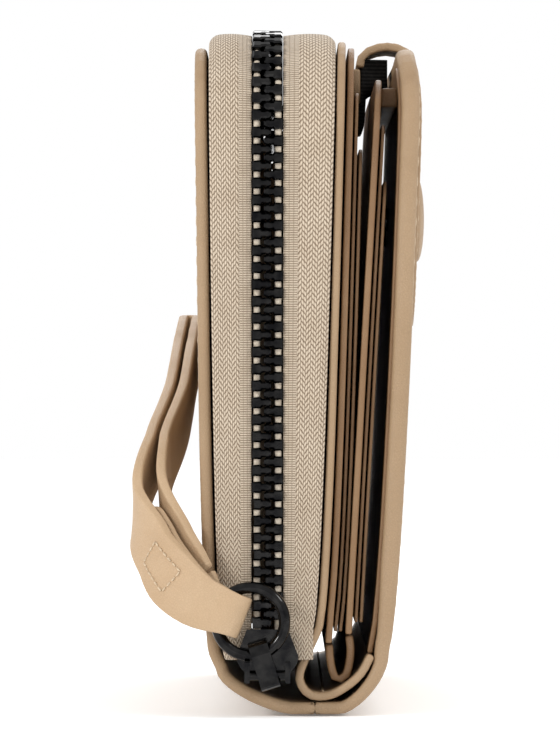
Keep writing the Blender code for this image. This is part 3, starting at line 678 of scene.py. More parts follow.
def swept_tube(name, frames, radius, material, body):
    """A round cord through (point, across, out) frames."""
    shape = bmesh.new()
    rim = list(bmesh.ops.create_circle(shape, cap_ends=True, segments=8, radius=radius)["verts"])
    turns = [(vert.co.x, vert.co.y) for vert in rim]
    for number, (point, across, out) in enumerate(frames):
        if number:
            edges = [edge for edge in shape.edges if edge.verts[0] in rim and edge.verts[1] in rim]
            raised = bmesh.ops.extrude_edge_only(shape, edges=edges)
            fresh = [item for item in raised["geom"] if isinstance(item, bmesh.types.BMVert)]
            ahead = []
            for old in rim:
                others = [edge.other_vert(old) for edge in old.link_edges]
                ahead.append(next(other for other in others if other in fresh))
            rim = ahead
        for vert, (a, b) in zip(rim, turns):
            vert.co = point + across * a + out * b
    bmesh.ops.contextual_create(shape, geom=rim)
    return finish_piece(name, shape, material, body)


front_tape_x = x_at("front_cover", 1)
back_tape_x = x_at("back_panel", 0)
tapes = (
    ("front", lambda z: front_tape_x(z) + seam_gap, -1),
    ("back", lambda z: back_tape_x(z) - seam_gap, 1),
)
for side, cover_x, sign in tapes:
    blank = flat_cut(
        zip_length(), tape_width / 2, tape_thickness, 0.00018, 0.0003, 0.0003, along=0.0024, across=0.0006
    )
    chain_edge = zip_centre + sign * (chain_half + seam_gap - 0.0002)
    finish_piece(
        side + "_tape",
        blank,
        zip_cloth,
        side,
        [side + "_zip_tape"],
        tape_place(cover_x, chain_edge),
    )
    frames = []
    for step in range(161):
        point, out = zip_point(zip_length() * step / 160)
        beside = Vector((zip_centre + sign * cord_place, 0, 0))
        frames.append((point + beside, Vector((1, 0, 0)), out))
    swept_tube(side + "_tape_cord", frames, cord_radius, cord_thread, side)

# ---------------------------------------------------------------------------------------------
# Teeth: die-cast, plated in black nickel. Each is a block clamped on the tape's cord, a narrow
# neck and a round head that locks between the two heads opposite. The heads are drawn wide enough
# to cut a little into their neighbours.

tooth_pitch = 0.00262
tooth_outline = (
    (-0.00235, 0.00084),
    (-0.00105, 0.00090),
    (-0.00082, 0.00058),
    (-0.00036, 0.00056),
    (-0.00014, 0.00068),
    (0.00028, 0.00066),
    (0.00056, 0.00034),
)
tooth_half_thickness = 0.00125
tooth_bevel = 0.00028
teeth_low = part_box("front_zip_teeth")[0][2]


def black_nickel(name):
    """Dark plated metal: near black, glossy, with fine tumbling marks and a worn, paler tone."""
    n = Nodes(name)
    place = n.object_place()
    smears = n.noise(place, 420, 3.0)
    specks = n.noise(place, 3800, 2.0)
    colour = n.ramp(smears, ((0.35, (0.010, 0.010, 0.011, 1)), (0.75, (0.034, 0.033, 0.032, 1))))
    roughness = n.remap(smears, 0.3, 0.7, 0.06, 0.15)
    return n.made(colour, roughness, n.bump(specks, 0.000006, n.bump(smears, 0.00003)), Metallic=1.0)


gunmetal = black_nickel("black_nickel")


def tooth_shape(scale):
    """One tooth: X runs from its clamped block to its head, Y along the zip, Z outwards."""
    tooth = bmesh.new()
    upper = [tooth.verts.new((x, y, -tooth_half_thickness)) for x, y in tooth_outline]
    lower = [tooth.verts.new((x, -y, -tooth_half_thickness)) for x, y in tooth_outline]
    base = tooth.faces.new(upper + lower[::-1])
    raised = bmesh.ops.extrude_face_region(tooth, geom=[base])
    top = [item for item in raised["geom"] if isinstance(item, bmesh.types.BMVert)]
    bmesh.ops.translate(tooth, vec=(0, 0, 2 * tooth_half_thickness), verts=top)
    rim = [edge for edge in tooth.edges if edge.verts[0] in top and edge.verts[1] in top]
    bmesh.ops.bevel(
        tooth, geom=rim, offset=tooth_bevel, segments=1, profile=0.5, affect="EDGES", material=-1
    )
    bmesh.ops.scale(tooth, vec=(scale, scale, scale), verts=tooth.verts)
    bmesh.ops.recalc_face_normals(tooth, faces=tooth.faces)
    mesh = bpy.data.meshes.new("one_tooth")
    tooth.to_mesh(mesh)
    tooth.free()
    return mesh


def tooth_row(name, node, body, places, sign, scale=1.0):
    """Sets a tooth at each (point, along, out); sign is the side that the blocks stand on."""
    row = bmesh.new()
    one = tooth_shape(scale)
    for point, along, out in places:
        known = len(row.verts)
        row.from_mesh(one)
        row.verts.ensure_lookup_table()
        turn = Matrix((Vector((-sign, 0, 0)), along, out)).transposed().to_4x4()
        bmesh.ops.transform(row, matrix=Matrix.Translation(point) @ turn, verts=row.verts[known:])
    piece = finish_piece(name, row, gunmetal, body, [node])
    piece.data.set_sharp_from_angle(angle=math.radians(28))
    bpy.data.meshes.remove(one)
    return piece


row_length = zip_length(teeth_low)
for side, sign, offset in (("front", -1, 0.0), ("back", 1, tooth_pitch / 2)):
    places = []
    distance = offset + 0.0003
    while distance < row_length - 0.0010:
        point, out = zip_point(distance, teeth_low)
        along = Vector((1, 0, 0)).cross(out)
        places.append((point + Vector((zip_centre, 0, 0)), along, out))
        distance += tooth_pitch
    tooth_row(side + "_teeth", side + "_zip_teeth", side, places, sign)

# ---------------------------------------------------------------------------------------------
# Zip stops, slider and pull link: die-cast in the same black nickel as the teeth. Their corners are
# tumbled round before plating.


def plated(node, corner):
    """Rounds the edges of a cast CAD piece and plates it."""
    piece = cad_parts[node]
    for index in range(len(piece.material_slots)):
        piece.material_slots[index].material = gunmetal
    rounding = piece.modifiers.new("tumbled", "BEVEL")
    rounding.width = corner
    rounding.segments = 2
    rounding.limit_method = "ANGLE"
    rounding.angle_limit = math.radians(40)
    rounding.harden_normals = False


plated("zip_stop_near", 0.00015)
plated("zip_stop_far", 0.00015)
plated("zip_slider", 0.00022)
plated("pull_link", 0.00025)

# ---------------------------------------------------------------------------------------------
# Ring: a round wire bent to a ring, brazed and plated. It hangs in the pull link's upper eye and
# holds the folded end of the wrist strap.

ring_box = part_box("strap_ring")
ring_centre = Vector([(low + high) / 2 for low, high in zip(*ring_box)])
wire_radius = (ring_box[1][1] - ring_box[0][1]) / 2
ring_radius = (ring_box[1][0] - ring_box[0][0]) / 2 - wire_radius

wire = bmesh.new()
section = bmesh.ops.create_circle(wire, cap_ends=False, segments=16, radius=wire_radius)
bmesh.ops.rotate(wire, cent=(0, 0, 0), matrix=Matrix.Rotation(math.pi / 2, 3, "X"), verts=wire.verts)
bmesh.ops.translate(wire, vec=(ring_radius, 0, 0), verts=section["verts"])
bmesh.ops.spin(
    wire,
    geom=wire.verts[:] + wire.edges[:],
    cent=(0, 0, 0),
    axis=(0, 0, 1),
    angle=2 * math.pi,
    steps=72,
    use_merge=True,
)
bmesh.ops.rotate(wire, cent=(0, 0, 0), matrix=Matrix.Rotation(math.pi / 2, 3, "X"), verts=wire.verts)
bmesh.ops.translate(wire, vec=ring_centre, verts=wire.verts)
finish_piece("strap_ring_wire", wire, gunmetal, "ring", ["strap_ring"])

# ---------------------------------------------------------------------------------------------
# Wrist strap: one band of the cover leather through the ring and round the hand, its two limbs
# glued near the ring over a rounded inner layer and held by a sewn box.

# The strap is the cover leather, coloured paler here as painted light so that it reads as bright as the lit
# strap.
strap_tan_painted_lighter = leather(
    "strap_leather", (0.490, 0.345, 0.212, 1), (0.420, 0.282, 0.162, 1), (0.550, 0.400, 0.256, 1)
)
strap_width = 0.0100
strap_leather = 0.0016
strap_near_loop = 0.0021
strap_far_loop = 0.0011
strap_fold_share = 0.66
strap_cover_gap = 0.0004
strap_turn = math.radians(22)
patch_from = 0.0075
patch_to = 0.0225
strap_direction = Vector((-math.cos(strap_turn), 0, math.sin(strap_turn)))
fold_half = strap_width * strap_fold_share / 2
fold_centre = math.sqrt(ring_radius**2 - fold_half**2) - seam_gap
grip_y = ring_centre.y
clear_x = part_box("front_cover")[0][0] - strap_cover_gap - strap_leather / 2 - strap_far_loop
strap_route = smooth_through(
    [
        ring_centre + fold_centre * strap_direction,
        ring_centre + Vector((-ring_radius - 0.0022, 0.0, 0.0030)),
        ring_centre + Vector((-ring_radius - 0.0052, 0.0012, 0.0061)),
        ring_centre + Vector((-ring_radius - 0.0078, 0.0040, 0.0106)),
        ring_centre + Vector((-ring_radius - 0.0102, 0.0096, 0.0164)),
        ring_centre + Vector((-ring_radius - 0.0094, 0.0190, 0.0238)),
        Vector((clear_x - 0.0011, grip_y + 0.042, 0.0460)),
        Vector((clear_x - 0.0003, grip_y + 0.068, 0.0520)),
        Vector((clear_x, grip_y + 0.098, 0.0558)),
        Vector((clear_x, grip_y + 0.130, 0.0580)),
    ],
    14,
)


def strap_frame(index):
    """The strap's direction, its width direction and its face's direction at a point of its route."""
    before = strap_route[max(index - 1, 0)]
    after = strap_route[min(index + 1, len(strap_route) - 1)]
    along = (after - before).normalized()
    up = Vector((0, 0, 1))
    width = (up - up.dot(along) * along).normalized()
    return along, width, along.cross(width)


middles = []
walked = 0.0
for index, point in enumerate(strap_route):
    along, width, face = strap_frame(index)
    walked += (point - strap_route[max(index - 1, 0)]).length
    narrowing = min(max((walked - patch_to - 0.002) / 0.012, 0), 1)
    spread = strap_near_loop + (strap_far_loop - strap_near_loop) * narrowing
    middles.append((point, width, face, spread, walked))

strap_loop = [(point + spread * face, width, face) for point, width, face, spread, walked in middles]
along, width, face = strap_frame(len(strap_route) - 1)
for step in range(1, 16):
    turn = math.radians(11.25 * step)
    out = math.cos(turn) * face + math.sin(turn) * along
    strap_loop.append((strap_route[-1] + strap_far_loop * out, width, out))
for point, width, face, spread, walked in reversed(middles):
    strap_loop.append((point - spread * face, width, -face))
along, width, face = strap_frame(0)
for step in range(1, 16):
    turn = math.radians(11.25 * step)
    out = -math.cos(turn) * face - math.sin(turn) * along
    strap_loop.append((strap_route[0] + strap_near_loop * out, width, out))
inner_cut = 26
strap_loop = strap_loop[inner_cut:] + strap_loop[:inner_cut]


class Ribbon:
    """A line of (point, width direction, outward direction) frames, by distance along it."""

    def __init__(self, frames):
        self.frames = frames
        self.marks = [0.0]
        for before, after in zip(frames, frames[1:]):
            self.marks.append(self.marks[-1] + (after[0] - before[0]).length)
        self.length = self.marks[-1]

    def at(self, distance):
        index = 0
        while index < len(self.marks) - 2 and self.marks[index + 1] < distance:
            index += 1
        stretch = max(self.marks[index + 1] - self.marks[index], 1e-9)
        share = min(max((distance - self.marks[index]) / stretch, 0), 1)
        first, second = self.frames[index], self.frames[index + 1]
        return [one.lerp(other, share) for one, other in zip(first, second)]


strap_ribbon = Ribbon(strap_loop)


def strap_share(point):
    """The band is skived narrower where it folds through the ring."""
    reach = (point - ring_centre).length - fold_centre
    return min(strap_fold_share + (1 - strap_fold_share) * max(reach / 0.010, 0), 1)


def strap_place(co):
    point, width, out = strap_ribbon.at(co.z)
    ripple = 0.00006 * noise.noise(Vector((co.y * 150, co.z * 90, 4.0)))
    rise = co.x - strap_leather / 2 + ripple
    return point + co.y * strap_share(point) * width + rise * out.normalized()


strap_blank = flat_cut(
    strap_ribbon.length - 0.0004,
    strap_width / 2,
    strap_leather,
    0.00040,
    0.0004,
    0.0004,
    along=0.0012,
    across=0.0017,
)
finish_piece(
    "wrist_strap",
    strap_blank,
    strap_tan_painted_lighter,
    "strap",
    ["strap_band"],
    strap_place,
    ring_crease(1.0, strap_width / 2, 0.0009, 0.00022, 0.3),
)

patch_frames = []
for point, width, face, spread, walked in middles:
    if patch_from < walked < patch_to:
        patch_frames.append((point, width, face))
patch_ribbon = Ribbon(patch_frames)
patch_thickness = 0.0010


def patch_place(co):
    point, width, out = patch_ribbon.at(co.z)
    return point + co.y * width + (co.x - patch_thickness / 2) * out.normalized()


patch_blank = flat_cut(
    patch_ribbon.length,
    0.4 * strap_width,
    patch_thickness,
    0.0003,
    0.0004,
    0.0030,
    along=0.0012,
    across=0.002,
)
finish_piece("strap_inner_layer", patch_blank, strap_tan_painted_lighter, "strap", ["strap_patch"], patch_place)

# ---------------------------------------------------------------------------------------------
# Sewing: waxed polyester thread, a shade paler than the leather, in short slanting lockstitches
# that sink a little into it. First the box on the wrist strap, near the ring.

stitch_radius = 0.00019
stitch_sink = 0.00011


def waxed_thread(name):
    """Twisted thread, with its strands showing as fine slanting bands."""
    n = Nodes(name)
    strands = n.noise(n.object_place(), 2600, 2.0)
    colour = n.ramp(strands, ((0.3, (0.40, 0.29, 0.18, 1)), (0.7, (0.62, 0.49, 0.34, 1))))
    return n.made(colour, 0.55, n.bump(strands, 0.00006))


thread = waxed_thread("waxed_thread")


def stitches(name, places, body, length=0.0016):
    """One row of stitches, each at a (point, along, out)."""
    row = bmesh.new()
    one = bmesh.new()
    bmesh.ops.create_uvsphere(one, u_segments=6, v_segments=5, radius=1)
    bmesh.ops.scale(one, vec=(length / 2, stitch_radius, stitch_radius), verts=one.verts)
    mesh = bpy.data.meshes.new("one_stitch")
    one.to_mesh(mesh)
    one.free()
    for point, along, out in places:
        known = len(row.verts)
        row.from_mesh(mesh)
        row.verts.ensure_lookup_table()
        side = out.cross(along).normalized()
        slant = (along + 0.10 * side).normalized()
        turn = Matrix((slant, out.cross(slant).normalized(), out)).transposed().to_4x4()
        bmesh.ops.transform(row, matrix=Matrix.Translation(point) @ turn, verts=row.verts[known:])
    bpy.data.meshes.remove(mesh)
    return finish_piece(name, row, thread, body)


def along_path(corners, pitch):
    """Evenly spaced (place, direction) pairs along a path of flat points."""
    found = []
    for one, other in zip(corners, corners[1:]):
        count = max(round((other - one).length / pitch), 1)
        for step in range(count):
            found.append((one.lerp(other, (step + 0.5) / count), (other - one).normalized()))
    return found


def rounded_path(side, start, top, corner):
    """Flat points up one side of a blank, round its two top corners and down its other side."""
    path = [Vector((-side, start)), Vector((-side, top - corner))]
    for step in range(1, 9):
        turn = math.radians(90 * step / 8)
        x = corner - side - corner * math.cos(turn)
        path.append(Vector((x, top - corner * (1 - math.sin(turn)))))
    return path + [Vector((-point.x, point.y)) for point in path[::-1]]


fold_mark = strap_ribbon.marks[2 * len(middles) + 14 - inner_cut]
box_from = fold_mark - 0.0165
box_to = fold_mark - 0.0100
box_half = 0.0024
box_corners = [
    Vector((-box_half, box_from)),
    Vector((box_half, box_from)),
    Vector((box_half, box_to)),
    Vector((-box_half, box_to)),
    Vector((-box_half, box_from)),
]
box_places = []
for flat, direction in along_path(box_corners, 0.00118):
    point, width, out = strap_ribbon.at(flat.y)
    further = strap_ribbon.at(flat.y + 0.0005)[0]
    way = (further - point).normalized()
    out = out.normalized()
    along = (direction.x * width + direction.y * way).normalized()
    surface = point + flat.x * strap_share(point) * width + (strap_leather / 2 + 0.00005) * out
    box_places.append((surface, along, out))
stitches("strap_box_stitch", box_places, "strap", 0.00105)

# ---------------------------------------------------------------------------------------------
# Back panel and spine lining: one piece of the cover leather. It starts beside the flap's fold,
# lies along the spine, is folded up in a loop, and stands as the zip compartment's back.

panel_leather = 0.00125
panel_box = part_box("back_panel")
lining_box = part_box("spine_lining")
panel_x = x_at("back_panel", 0)
flap_low_x = 0.0086
lining_low = lining_box[0][2] + panel_leather / 2
lining_fold = smooth_through(
    [
        (flap_low_x + panel_leather / 2, flap_fold.y - seam_gap),
        (flap_low_x - 0.0010, flap_fold.y - 0.0032),
        (flap_low_x - 0.0034, lining_low + 0.0014),
        (base_right.x - 0.0018, lining_low + 0.0001),
        (base_left.x + 0.0030, lining_low + 0.0003),
        (base_left.x + 0.0015, lining_low + 0.0026),
        (base_left.x + 0.0023, lining_low + 0.0056),
        (panel_x(panel_box[0][2]) + panel_leather / 2, panel_box[0][2]),
    ],
    8,
)
panel_rise = []
for step in range(1, 27):
    z = panel_box[0][2] + (panel_box[1][2] - panel_box[0][2]) * step / 26
    panel_rise.append(Vector((panel_x(z) + panel_leather / 2, z)))
panel_line = Line(lining_fold + panel_rise)
finish_piece(
    "back_panel_leather",
    flat_cut(
        panel_line.length,
        wallet_half,
        panel_leather,
        0.0005,
        0.0004,
        cover_corner,
        along=0.0011,
    ),
    tan_leather,
    "back",
    ["back_panel", "spine_lining"],
    bent_along(panel_line, -panel_leather / 2, 0.00010, 5.0),
    ring_crease(panel_line.length, wallet_half, 0.0025, 0.0004, 0.35),
)

# ---------------------------------------------------------------------------------------------
# Pages: a thinner leather with its edges folded and pressed, coloured darker than the cover as painted shade
# from between the layers. The back page stands against the panel and the flap page against the flap, each
# with two stepped card slots. Cards slide in behind each step, so its lips are turned and its lower edge is
# hidden by the one in front.

# This darker copy of the leather is painted shade, used for the pages, slots, stay, spine strip and coin
# pocket inside the wallet.
page_brown_painted_shade = leather(
    "page_leather", (0.215, 0.120, 0.056, 1), (0.150, 0.078, 0.033, 1), (0.280, 0.168, 0.085, 1), 0.46
)


def layer(name, node, body, corner, material, wave, seed, rounding=0.3):
    """A layer cut flat to the size of its CAD solid and bent to it, in place of that solid."""
    levels = levels_of(node)
    thickness = levels[0][2] - levels[0][1]
    line = Line(face_line(node, 0))
    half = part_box(node)[1][1]
    edges = rounding * thickness
    blank = flat_cut(line.length, half, thickness, edges, 0.0003, corner, along=0.005, across=0.007)
    return finish_piece(
        name,
        blank,
        material,
        body,
        [node],
        inward(line, wave, seed),
        ring_crease(line.length, half, 0.0020, 0.0004, 0.3),
    )


page_corner = 0.0115
slot_corner = 0.0040
page_seed = 11.0
for name, node, body, corner, wave in (
    ("back_page_leather", "back_page", "back", page_corner, 0.00005),
    ("back_page_first_slot", "back_page_slot_1", "back", slot_corner, 0.00003),
    ("back_page_second_slot", "back_page_slot_2", "back", slot_corner, 0.00003),
    ("flap_page_leather", "flap_page", "flap", page_corner, 0.00005),
    ("flap_page_first_slot", "flap_page_slot_1", "flap", slot_corner, 0.00003),
    ("flap_page_second_slot", "flap_page_slot_2", "flap", slot_corner, 0.00003),
    ("flap_inside", "flap_lining", "flap", cover_corner, 0.00005),
):
    layer(name, node, body, corner, page_brown_painted_shade, wave, page_seed)
    page_seed += 1

# A turned strip along the flap page's top, sewn through the page and the flap's lining.
stay_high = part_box("flap_page")[1][2] - 0.0012
stay_low = stay_high - 0.0030
stay_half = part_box("flap_page")[1][1] - page_corner - 0.002
page_outer = x_at("flap_page", 1)
lining_inner = x_at("flap_lining", 0)


def stay_place(co):
    z = stay_low + co.z
    near, far = page_outer(z) + 0.0001, lining_inner(z) - 0.0001
    return Vector((near + (far - near) * co.x / 0.001, co.y, z))


finish_piece(
    "flap_page_stay",
    flat_cut(stay_high - stay_low, stay_half, 0.001, 0.0002, 0.0004, 0.0004, along=0.001, across=0.01),
    page_brown_painted_shade,
    "flap",
    place=stay_place,
)

# The folded strip that joins the two pages at the bottom and lets the bill pocket spread.
strip_leather = 0.0012
strip_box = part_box("inner_spine_strip")
page_middle = x_at("back_page", 0)(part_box("back_page")[0][2]) + strip_leather / 2
page_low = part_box("back_page")[0][2]
flap_page_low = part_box("flap_page")[0][2]
flap_page_x = x_at("flap_page", 0)(flap_page_low)
strip_low = strip_box[0][2] + strip_leather / 2
strip_line = Line(
    smooth_through(
        [
            (page_middle, page_low - seam_gap),
            (page_middle + 0.0002, page_low - 0.0030),
            (page_middle + 0.0010, strip_low + 0.0001),
            (page_middle + 0.0026, strip_low + 0.0006),
            (flap_page_x + strip_leather / 2 + 0.0002, flap_page_low - 0.0032),
            (flap_page_x + strip_leather / 2, flap_page_low - seam_gap),
        ],
        8,
    )
)
strip_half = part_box("inner_spine_strip")[1][1]
finish_piece(
    "spine_strip",
    flat_cut(strip_line.length, strip_half, strip_leather, 0.0004, 0.0004, 0.0004, along=0.001, across=0.008),
    page_brown_painted_shade,
    ("back", "flap", (page_middle + 0.0006, 0, strip_low), (flap_page_x + 0.0004, 0, strip_low + 0.002)),
    ["inner_spine_strip"],
    bent_along(strip_line, -strip_leather / 2, 0.00005, 21.0),
)

# ---------------------------------------------------------------------------------------------
# Closure tab: two layers of the cover leather, glued and sewn, with a rounded tip. Its root is sewn
# to the back page. It arches over the flap and its snap closes on the flap's outside.

tab_leather = 0.0013
tab_corner = 0.0085
tab_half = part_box("closure_tab")[1][1]
tab_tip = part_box("closure_tab")[0][2]
tab_pin = Vector((0.0082, 0.1034))
flap_outer = x_at("flap_cover", 1)
snap_z = 0.0785
arch_z = cover_top + 0.0026
arch_high = flap_outer(cover_top)


def over_flap(z):
    return flap_outer(z) + seam_gap + tab_leather / 2


tab_route = smooth_through(
    [
        (tab_pin.x, tab_pin.y),
        (tab_pin.x + 0.0005, arch_z - 0.0012),
        (tab_pin.x + 0.0028, arch_z),
        (arch_high - 0.0020, arch_z + 0.0001),
        (arch_high + 0.0005, arch_z - 0.0016),
        (over_flap(cover_top - 0.005), cover_top - 0.005),
        (over_flap(cover_top - 0.013), cover_top - 0.013),
        (over_flap(snap_z), snap_z),
        (over_flap(snap_z - 0.010), snap_z - 0.010),
        (over_flap(tab_tip), tab_tip + 0.0002),
    ],
    7,
)
tab_line = Line(tab_route)
tab_shape = flat_cut(
    tab_line.length, tab_half, tab_leather, 0.0004, 0.0004, tab_corner, along=0.0016, across=0.0018
)
finish_piece(
    "closure_tab_leather",
    tab_shape,
    tan_leather,
    ("back", "tab", (tab_pin.x - 0.0004, 0, tab_pin.y), (tab_pin.x + 0.0024, 0, tab_pin.y)),
    ["closure_tab"],
    bent_along(tab_line, -tab_leather / 2, 0.00003, 31.0),
    ring_crease(tab_line.length, tab_half, 0.0018, 0.00035, 0.35),
)
root_low, root_high = (Vector(corner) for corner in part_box("tab_root"))
root_x = (root_low.x + root_high.x) / 2
root_line = Line([Vector((root_x, root_low.z)), Vector((root_x, root_high.z))])
root_line = Line([root_line.at(root_line.length * step / 6)[0] for step in range(7)])
finish_piece(
    "closure_tab_root",
    flat_cut(root_line.length, tab_half, tab_leather, 0.0004, 0.0020, 0.0004, along=0.002, across=0.003),
    tan_leather,
    "back",
    ["tab_root"],
    bent_along(root_line, -tab_leather / 2),
)

# Gathered black elastic, sewn under the tab's root. It reaches up and across to fill the gap under the tab's
# arch, a black sheet standing in as painted shade there.
elastic_high = arch_z - tab_leather / 2 - 0.0012
elastic_low = root_low.z - 0.0046
elastic_half_y = tab_half - 0.0015
slot_face = x_at("back_page_slot_1", 1)
page_face = x_at("flap_page", 0)
lining_face = x_at("flap_lining", 0)
page_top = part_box("flap_page")[1][2]
elastic = bmesh.new()
bmesh.ops.create_grid(elastic, x_segments=60, y_segments=24, size=0.5)
for vert in elastic.verts:
    z = elastic_low + (elastic_high - elastic_low) * (vert.co.y + 0.5)
    above = min(max((z - page_top) / 0.0012, 0), 1)
    beside_root = min(max((z - root_low.z + 0.0008) / 0.0016, 0), 1)
    left = slot_face(z) + 0.0006 + (root_high.x + 0.0003 - slot_face(z) - 0.0006) * beside_root
    right = page_face(z) - 0.0007 + (lining_face(z) - page_face(z) + 0.0003) * above
    rounding = math.sqrt(max(1 - max((elastic_low + 0.0025 - z) / 0.0025, 0) ** 2, 0.02))
    wave = math.sin(2 * math.pi * 4.5 * vert.co.x)
    x = (left + right) / 2 + (right - left) / 2 * rounding * wave
    vert.co = Vector((x, 2 * elastic_half_y * vert.co.x, z))
bmesh.ops.recalc_face_normals(elastic, faces=elastic.faces)
bmesh.ops.solidify(elastic, geom=elastic.faces[:], thickness=0.0004)


def black_shade_elastic(name):
    """Knitted black elastic with fine ribs along its length; its near-black colour is painted shade for the
    gap under the tab's arch.
    """
    n = Nodes(name)
    along = n.uv()[1]
    rib = n.math("SINE", n.math("MULTIPLY", along, 2 * math.pi / 0.0006))
    fuzz = n.noise(n.object_place(), 1500, 3.0)
    height = n.math("MULTIPLY_ADD", rib, 0.3, fuzz)
    colour = n.ramp(height, ((0.2, (0.004, 0.004, 0.004, 1)), (0.9, (0.020, 0.019, 0.018, 1))))
    return n.made(colour, 0.9, n.bump(height, 0.00008), Specular_IOR_Level=0.15)


shade_elastic_piece = finish_piece(
    "tab_root_shade_elastic", elastic, black_shade_elastic("black_shade_elastic"), "back"
)

tab_seam = []
tab_inset = 0.0018
tab_path = rounded_path(tab_half - tab_inset, 0.004, tab_line.length - tab_inset, tab_corner - tab_inset)
for flat, direction in along_path(tab_path, 0.0026):
    point, across = tab_line.at(flat.y)
    ahead = tab_line.at(flat.y + 0.0005)[0] - point
    ahead = ahead.normalized()
    out = Vector((across.x, 0, across.y))
    upward = Vector((ahead.x, 0, ahead.y))
    along = (direction.x * Vector((0, 1, 0)) + direction.y * upward).normalized()
    surface = Vector((point.x, flat.x, point.y)) + out * (tab_leather / 2 - stitch_sink)
    tab_seam.append((surface, along, out))
stitches("closure_tab_seam", tab_seam, "tab", 0.0019)

# ---------------------------------------------------------------------------------------------
# Snap: a leather-covered cap on the tab, the pressed socket under it, and the stud on the flap,
# whose washer is held behind the flap's lining. The metal parts are plated like the zip.

cap_low, cap_high = (Vector(corner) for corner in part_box("snap_cap"))
cap_radius = (cap_high.y - cap_low.y) / 2
cap_depth = cap_high.x - cap_low.x
cap = bmesh.new()
bmesh.ops.create_uvsphere(cap, u_segments=48, v_segments=24, radius=1)
bmesh.ops.bisect_plane(
    cap,
    geom=cap.verts[:] + cap.edges[:] + cap.faces[:],
    plane_co=(0, 0, 0),
    plane_no=(0, 0, -1),
    clear_outer=True,
)
rim = [edge for edge in cap.edges if edge.is_boundary]
bmesh.ops.contextual_create(cap, geom=rim)
bmesh.ops.scale(cap, vec=(cap_radius, cap_radius, cap_depth), verts=cap.verts)
bmesh.ops.rotate(cap, cent=(0, 0, 0), matrix=Matrix.Rotation(math.pi / 2, 3, "Y"), verts=cap.verts)
bmesh.ops.translate(cap, vec=(cap_low.x, 0, snap_z), verts=cap.verts)
cap_piece = finish_piece("snap_cap_leather", cap, tan_leather, "tab", ["snap_cap"])
cap_piece.data.set_sharp_from_angle(angle=math.radians(60))
plated("snap_socket", 0.00012)
plated("snap_stud", 0.00012)

# ---------------------------------------------------------------------------------------------
# Zip compartment: cloth linings glued inside the cover and the back panel, with stepped leather
# card slots on each, and at each end a folded cloth gusset that holds the cover from falling open.


def lining_weave(name):
    """Plain-woven cloth with slight slubs, in a warm beige."""
    n = Nodes(name)
    place = n.object_place()
    split = n.new("SeparateXYZ")
    n.link(place, split.inputs[0])
    warp = n.math("SINE", n.math("MULTIPLY", split.outputs[1], 2 * math.pi / 0.0004))
    weft = n.math("SINE", n.math("MULTIPLY", split.outputs[2], 2 * math.pi / 0.0004))
    weave = n.math("MULTIPLY_ADD", n.math("MULTIPLY", warp, weft), 0.5, 0.5)
    slubs = n.noise(place, 500, 3.0)
    height = n.math("MULTIPLY_ADD", slubs, 0.4, weave)
    colour = n.ramp(height, ((0.2, (0.215, 0.150, 0.095, 1)), (0.95, (0.380, 0.285, 0.195, 1))))
    return n.made(colour, 0.85, n.bump(height, 0.00007), Sheen_Weight=0.2)


lining_cloth = lining_weave("lining_cloth_weave")
for name, node, body, seed in (
    ("front_cover_lining", "front_lining", "front", 41.0),
    ("panel_lining", "back_lining", "back", 42.0),
):
    layer(name, node, body, 0.0125, lining_cloth, 0.00003, seed, 0.2)
for side, slot_count, seed in (("front", 3, 43.0), ("back", 2, 47.0)):
    for number in range(1, slot_count + 1):
        name, node = f"{side}_inside_slot_{number}", f"{side}_card_slot_{number}"
        layer(name, node, side, slot_corner, page_brown_painted_shade, 0.00002, seed + number)

gusset_folds = 8
for side, end in (("near", -1), ("far", 1)):
    node = side + "_gusset"
    low, high = (Vector(corner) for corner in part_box(node))
    middle_y = (low.y + high.y) / 2
    sway = (high.y - low.y) / 2 - 0.0004
    cover_x = x_at("front_lining", 1)
    wall_x = x_at("back_lining", 0)
    gusset = bmesh.new()
    bmesh.ops.create_grid(gusset, x_segments=48, y_segments=30, size=0.5)
    for vert in gusset.verts:
        share = vert.co.x + 0.5
        z = low.z + (high.z - low.z) * (vert.co.y + 0.5)
        start = cover_x(z) + 0.0006
        stop = wall_x(z) - 0.0006
        swing = sway * math.cos(math.pi * gusset_folds * share)
        vert.co = Vector((start + (stop - start) * share, middle_y + swing * end, z))
    bmesh.ops.recalc_face_normals(gusset, faces=gusset.faces)
    bmesh.ops.solidify(gusset, geom=gusset.faces[:], thickness=0.0004)
    at_wall = (wall_x(high.z) - 0.001, 0, fold_left.y)
    at_cover = (cover_x(high.z) + 0.001, 0, fold_left.y)
    gusset_piece = finish_piece(
        side + "_gusset_cloth",
        gusset,
        lining_cloth,
        ("back", "front", at_wall, at_cover),
        [node],
    )

# ---------------------------------------------------------------------------------------------
# Coin pocket: page leather folded up round its base to make both walls, with a light zip along its
# top. It stands between the two sides of the compartment and swings with them.

pocket_front, pocket_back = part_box("coin_pocket_front"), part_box("coin_pocket_back")
pocket_wall = pocket_front[1][0] - pocket_front[0][0]
pocket_left = pocket_front[0][0]
pocket_right = pocket_back[1][0]
pocket_low = pocket_front[0][2]
pocket_top = pocket_front[1][2]
pocket_half = pocket_front[1][1]
pocket_turn = 0.0016
pocket_points = []
for step in range(13):
    z = pocket_top + (pocket_low + pocket_turn - pocket_top) * step / 12
    pocket_points.append(Vector((pocket_left, z)))
for step in range(1, 7):
    turn = math.radians(15 * step)
    corner_x = pocket_left + pocket_turn * (1 - math.cos(turn))
    pocket_points.append(Vector((corner_x, pocket_low + pocket_turn * (1 - math.sin(turn)))))
pocket_middle = (pocket_left + pocket_right) / 2
pocket_half_depth = (pocket_right - pocket_left) / 2
pocket_points += [Vector((2 * pocket_middle - point.x, point.y)) for point in pocket_points[::-1]]
pocket_line = Line(pocket_points)
pocket_bend = bent_along(pocket_line, 0.0, 0.00004, 51.0)
pocket_seam_reach = 0.009


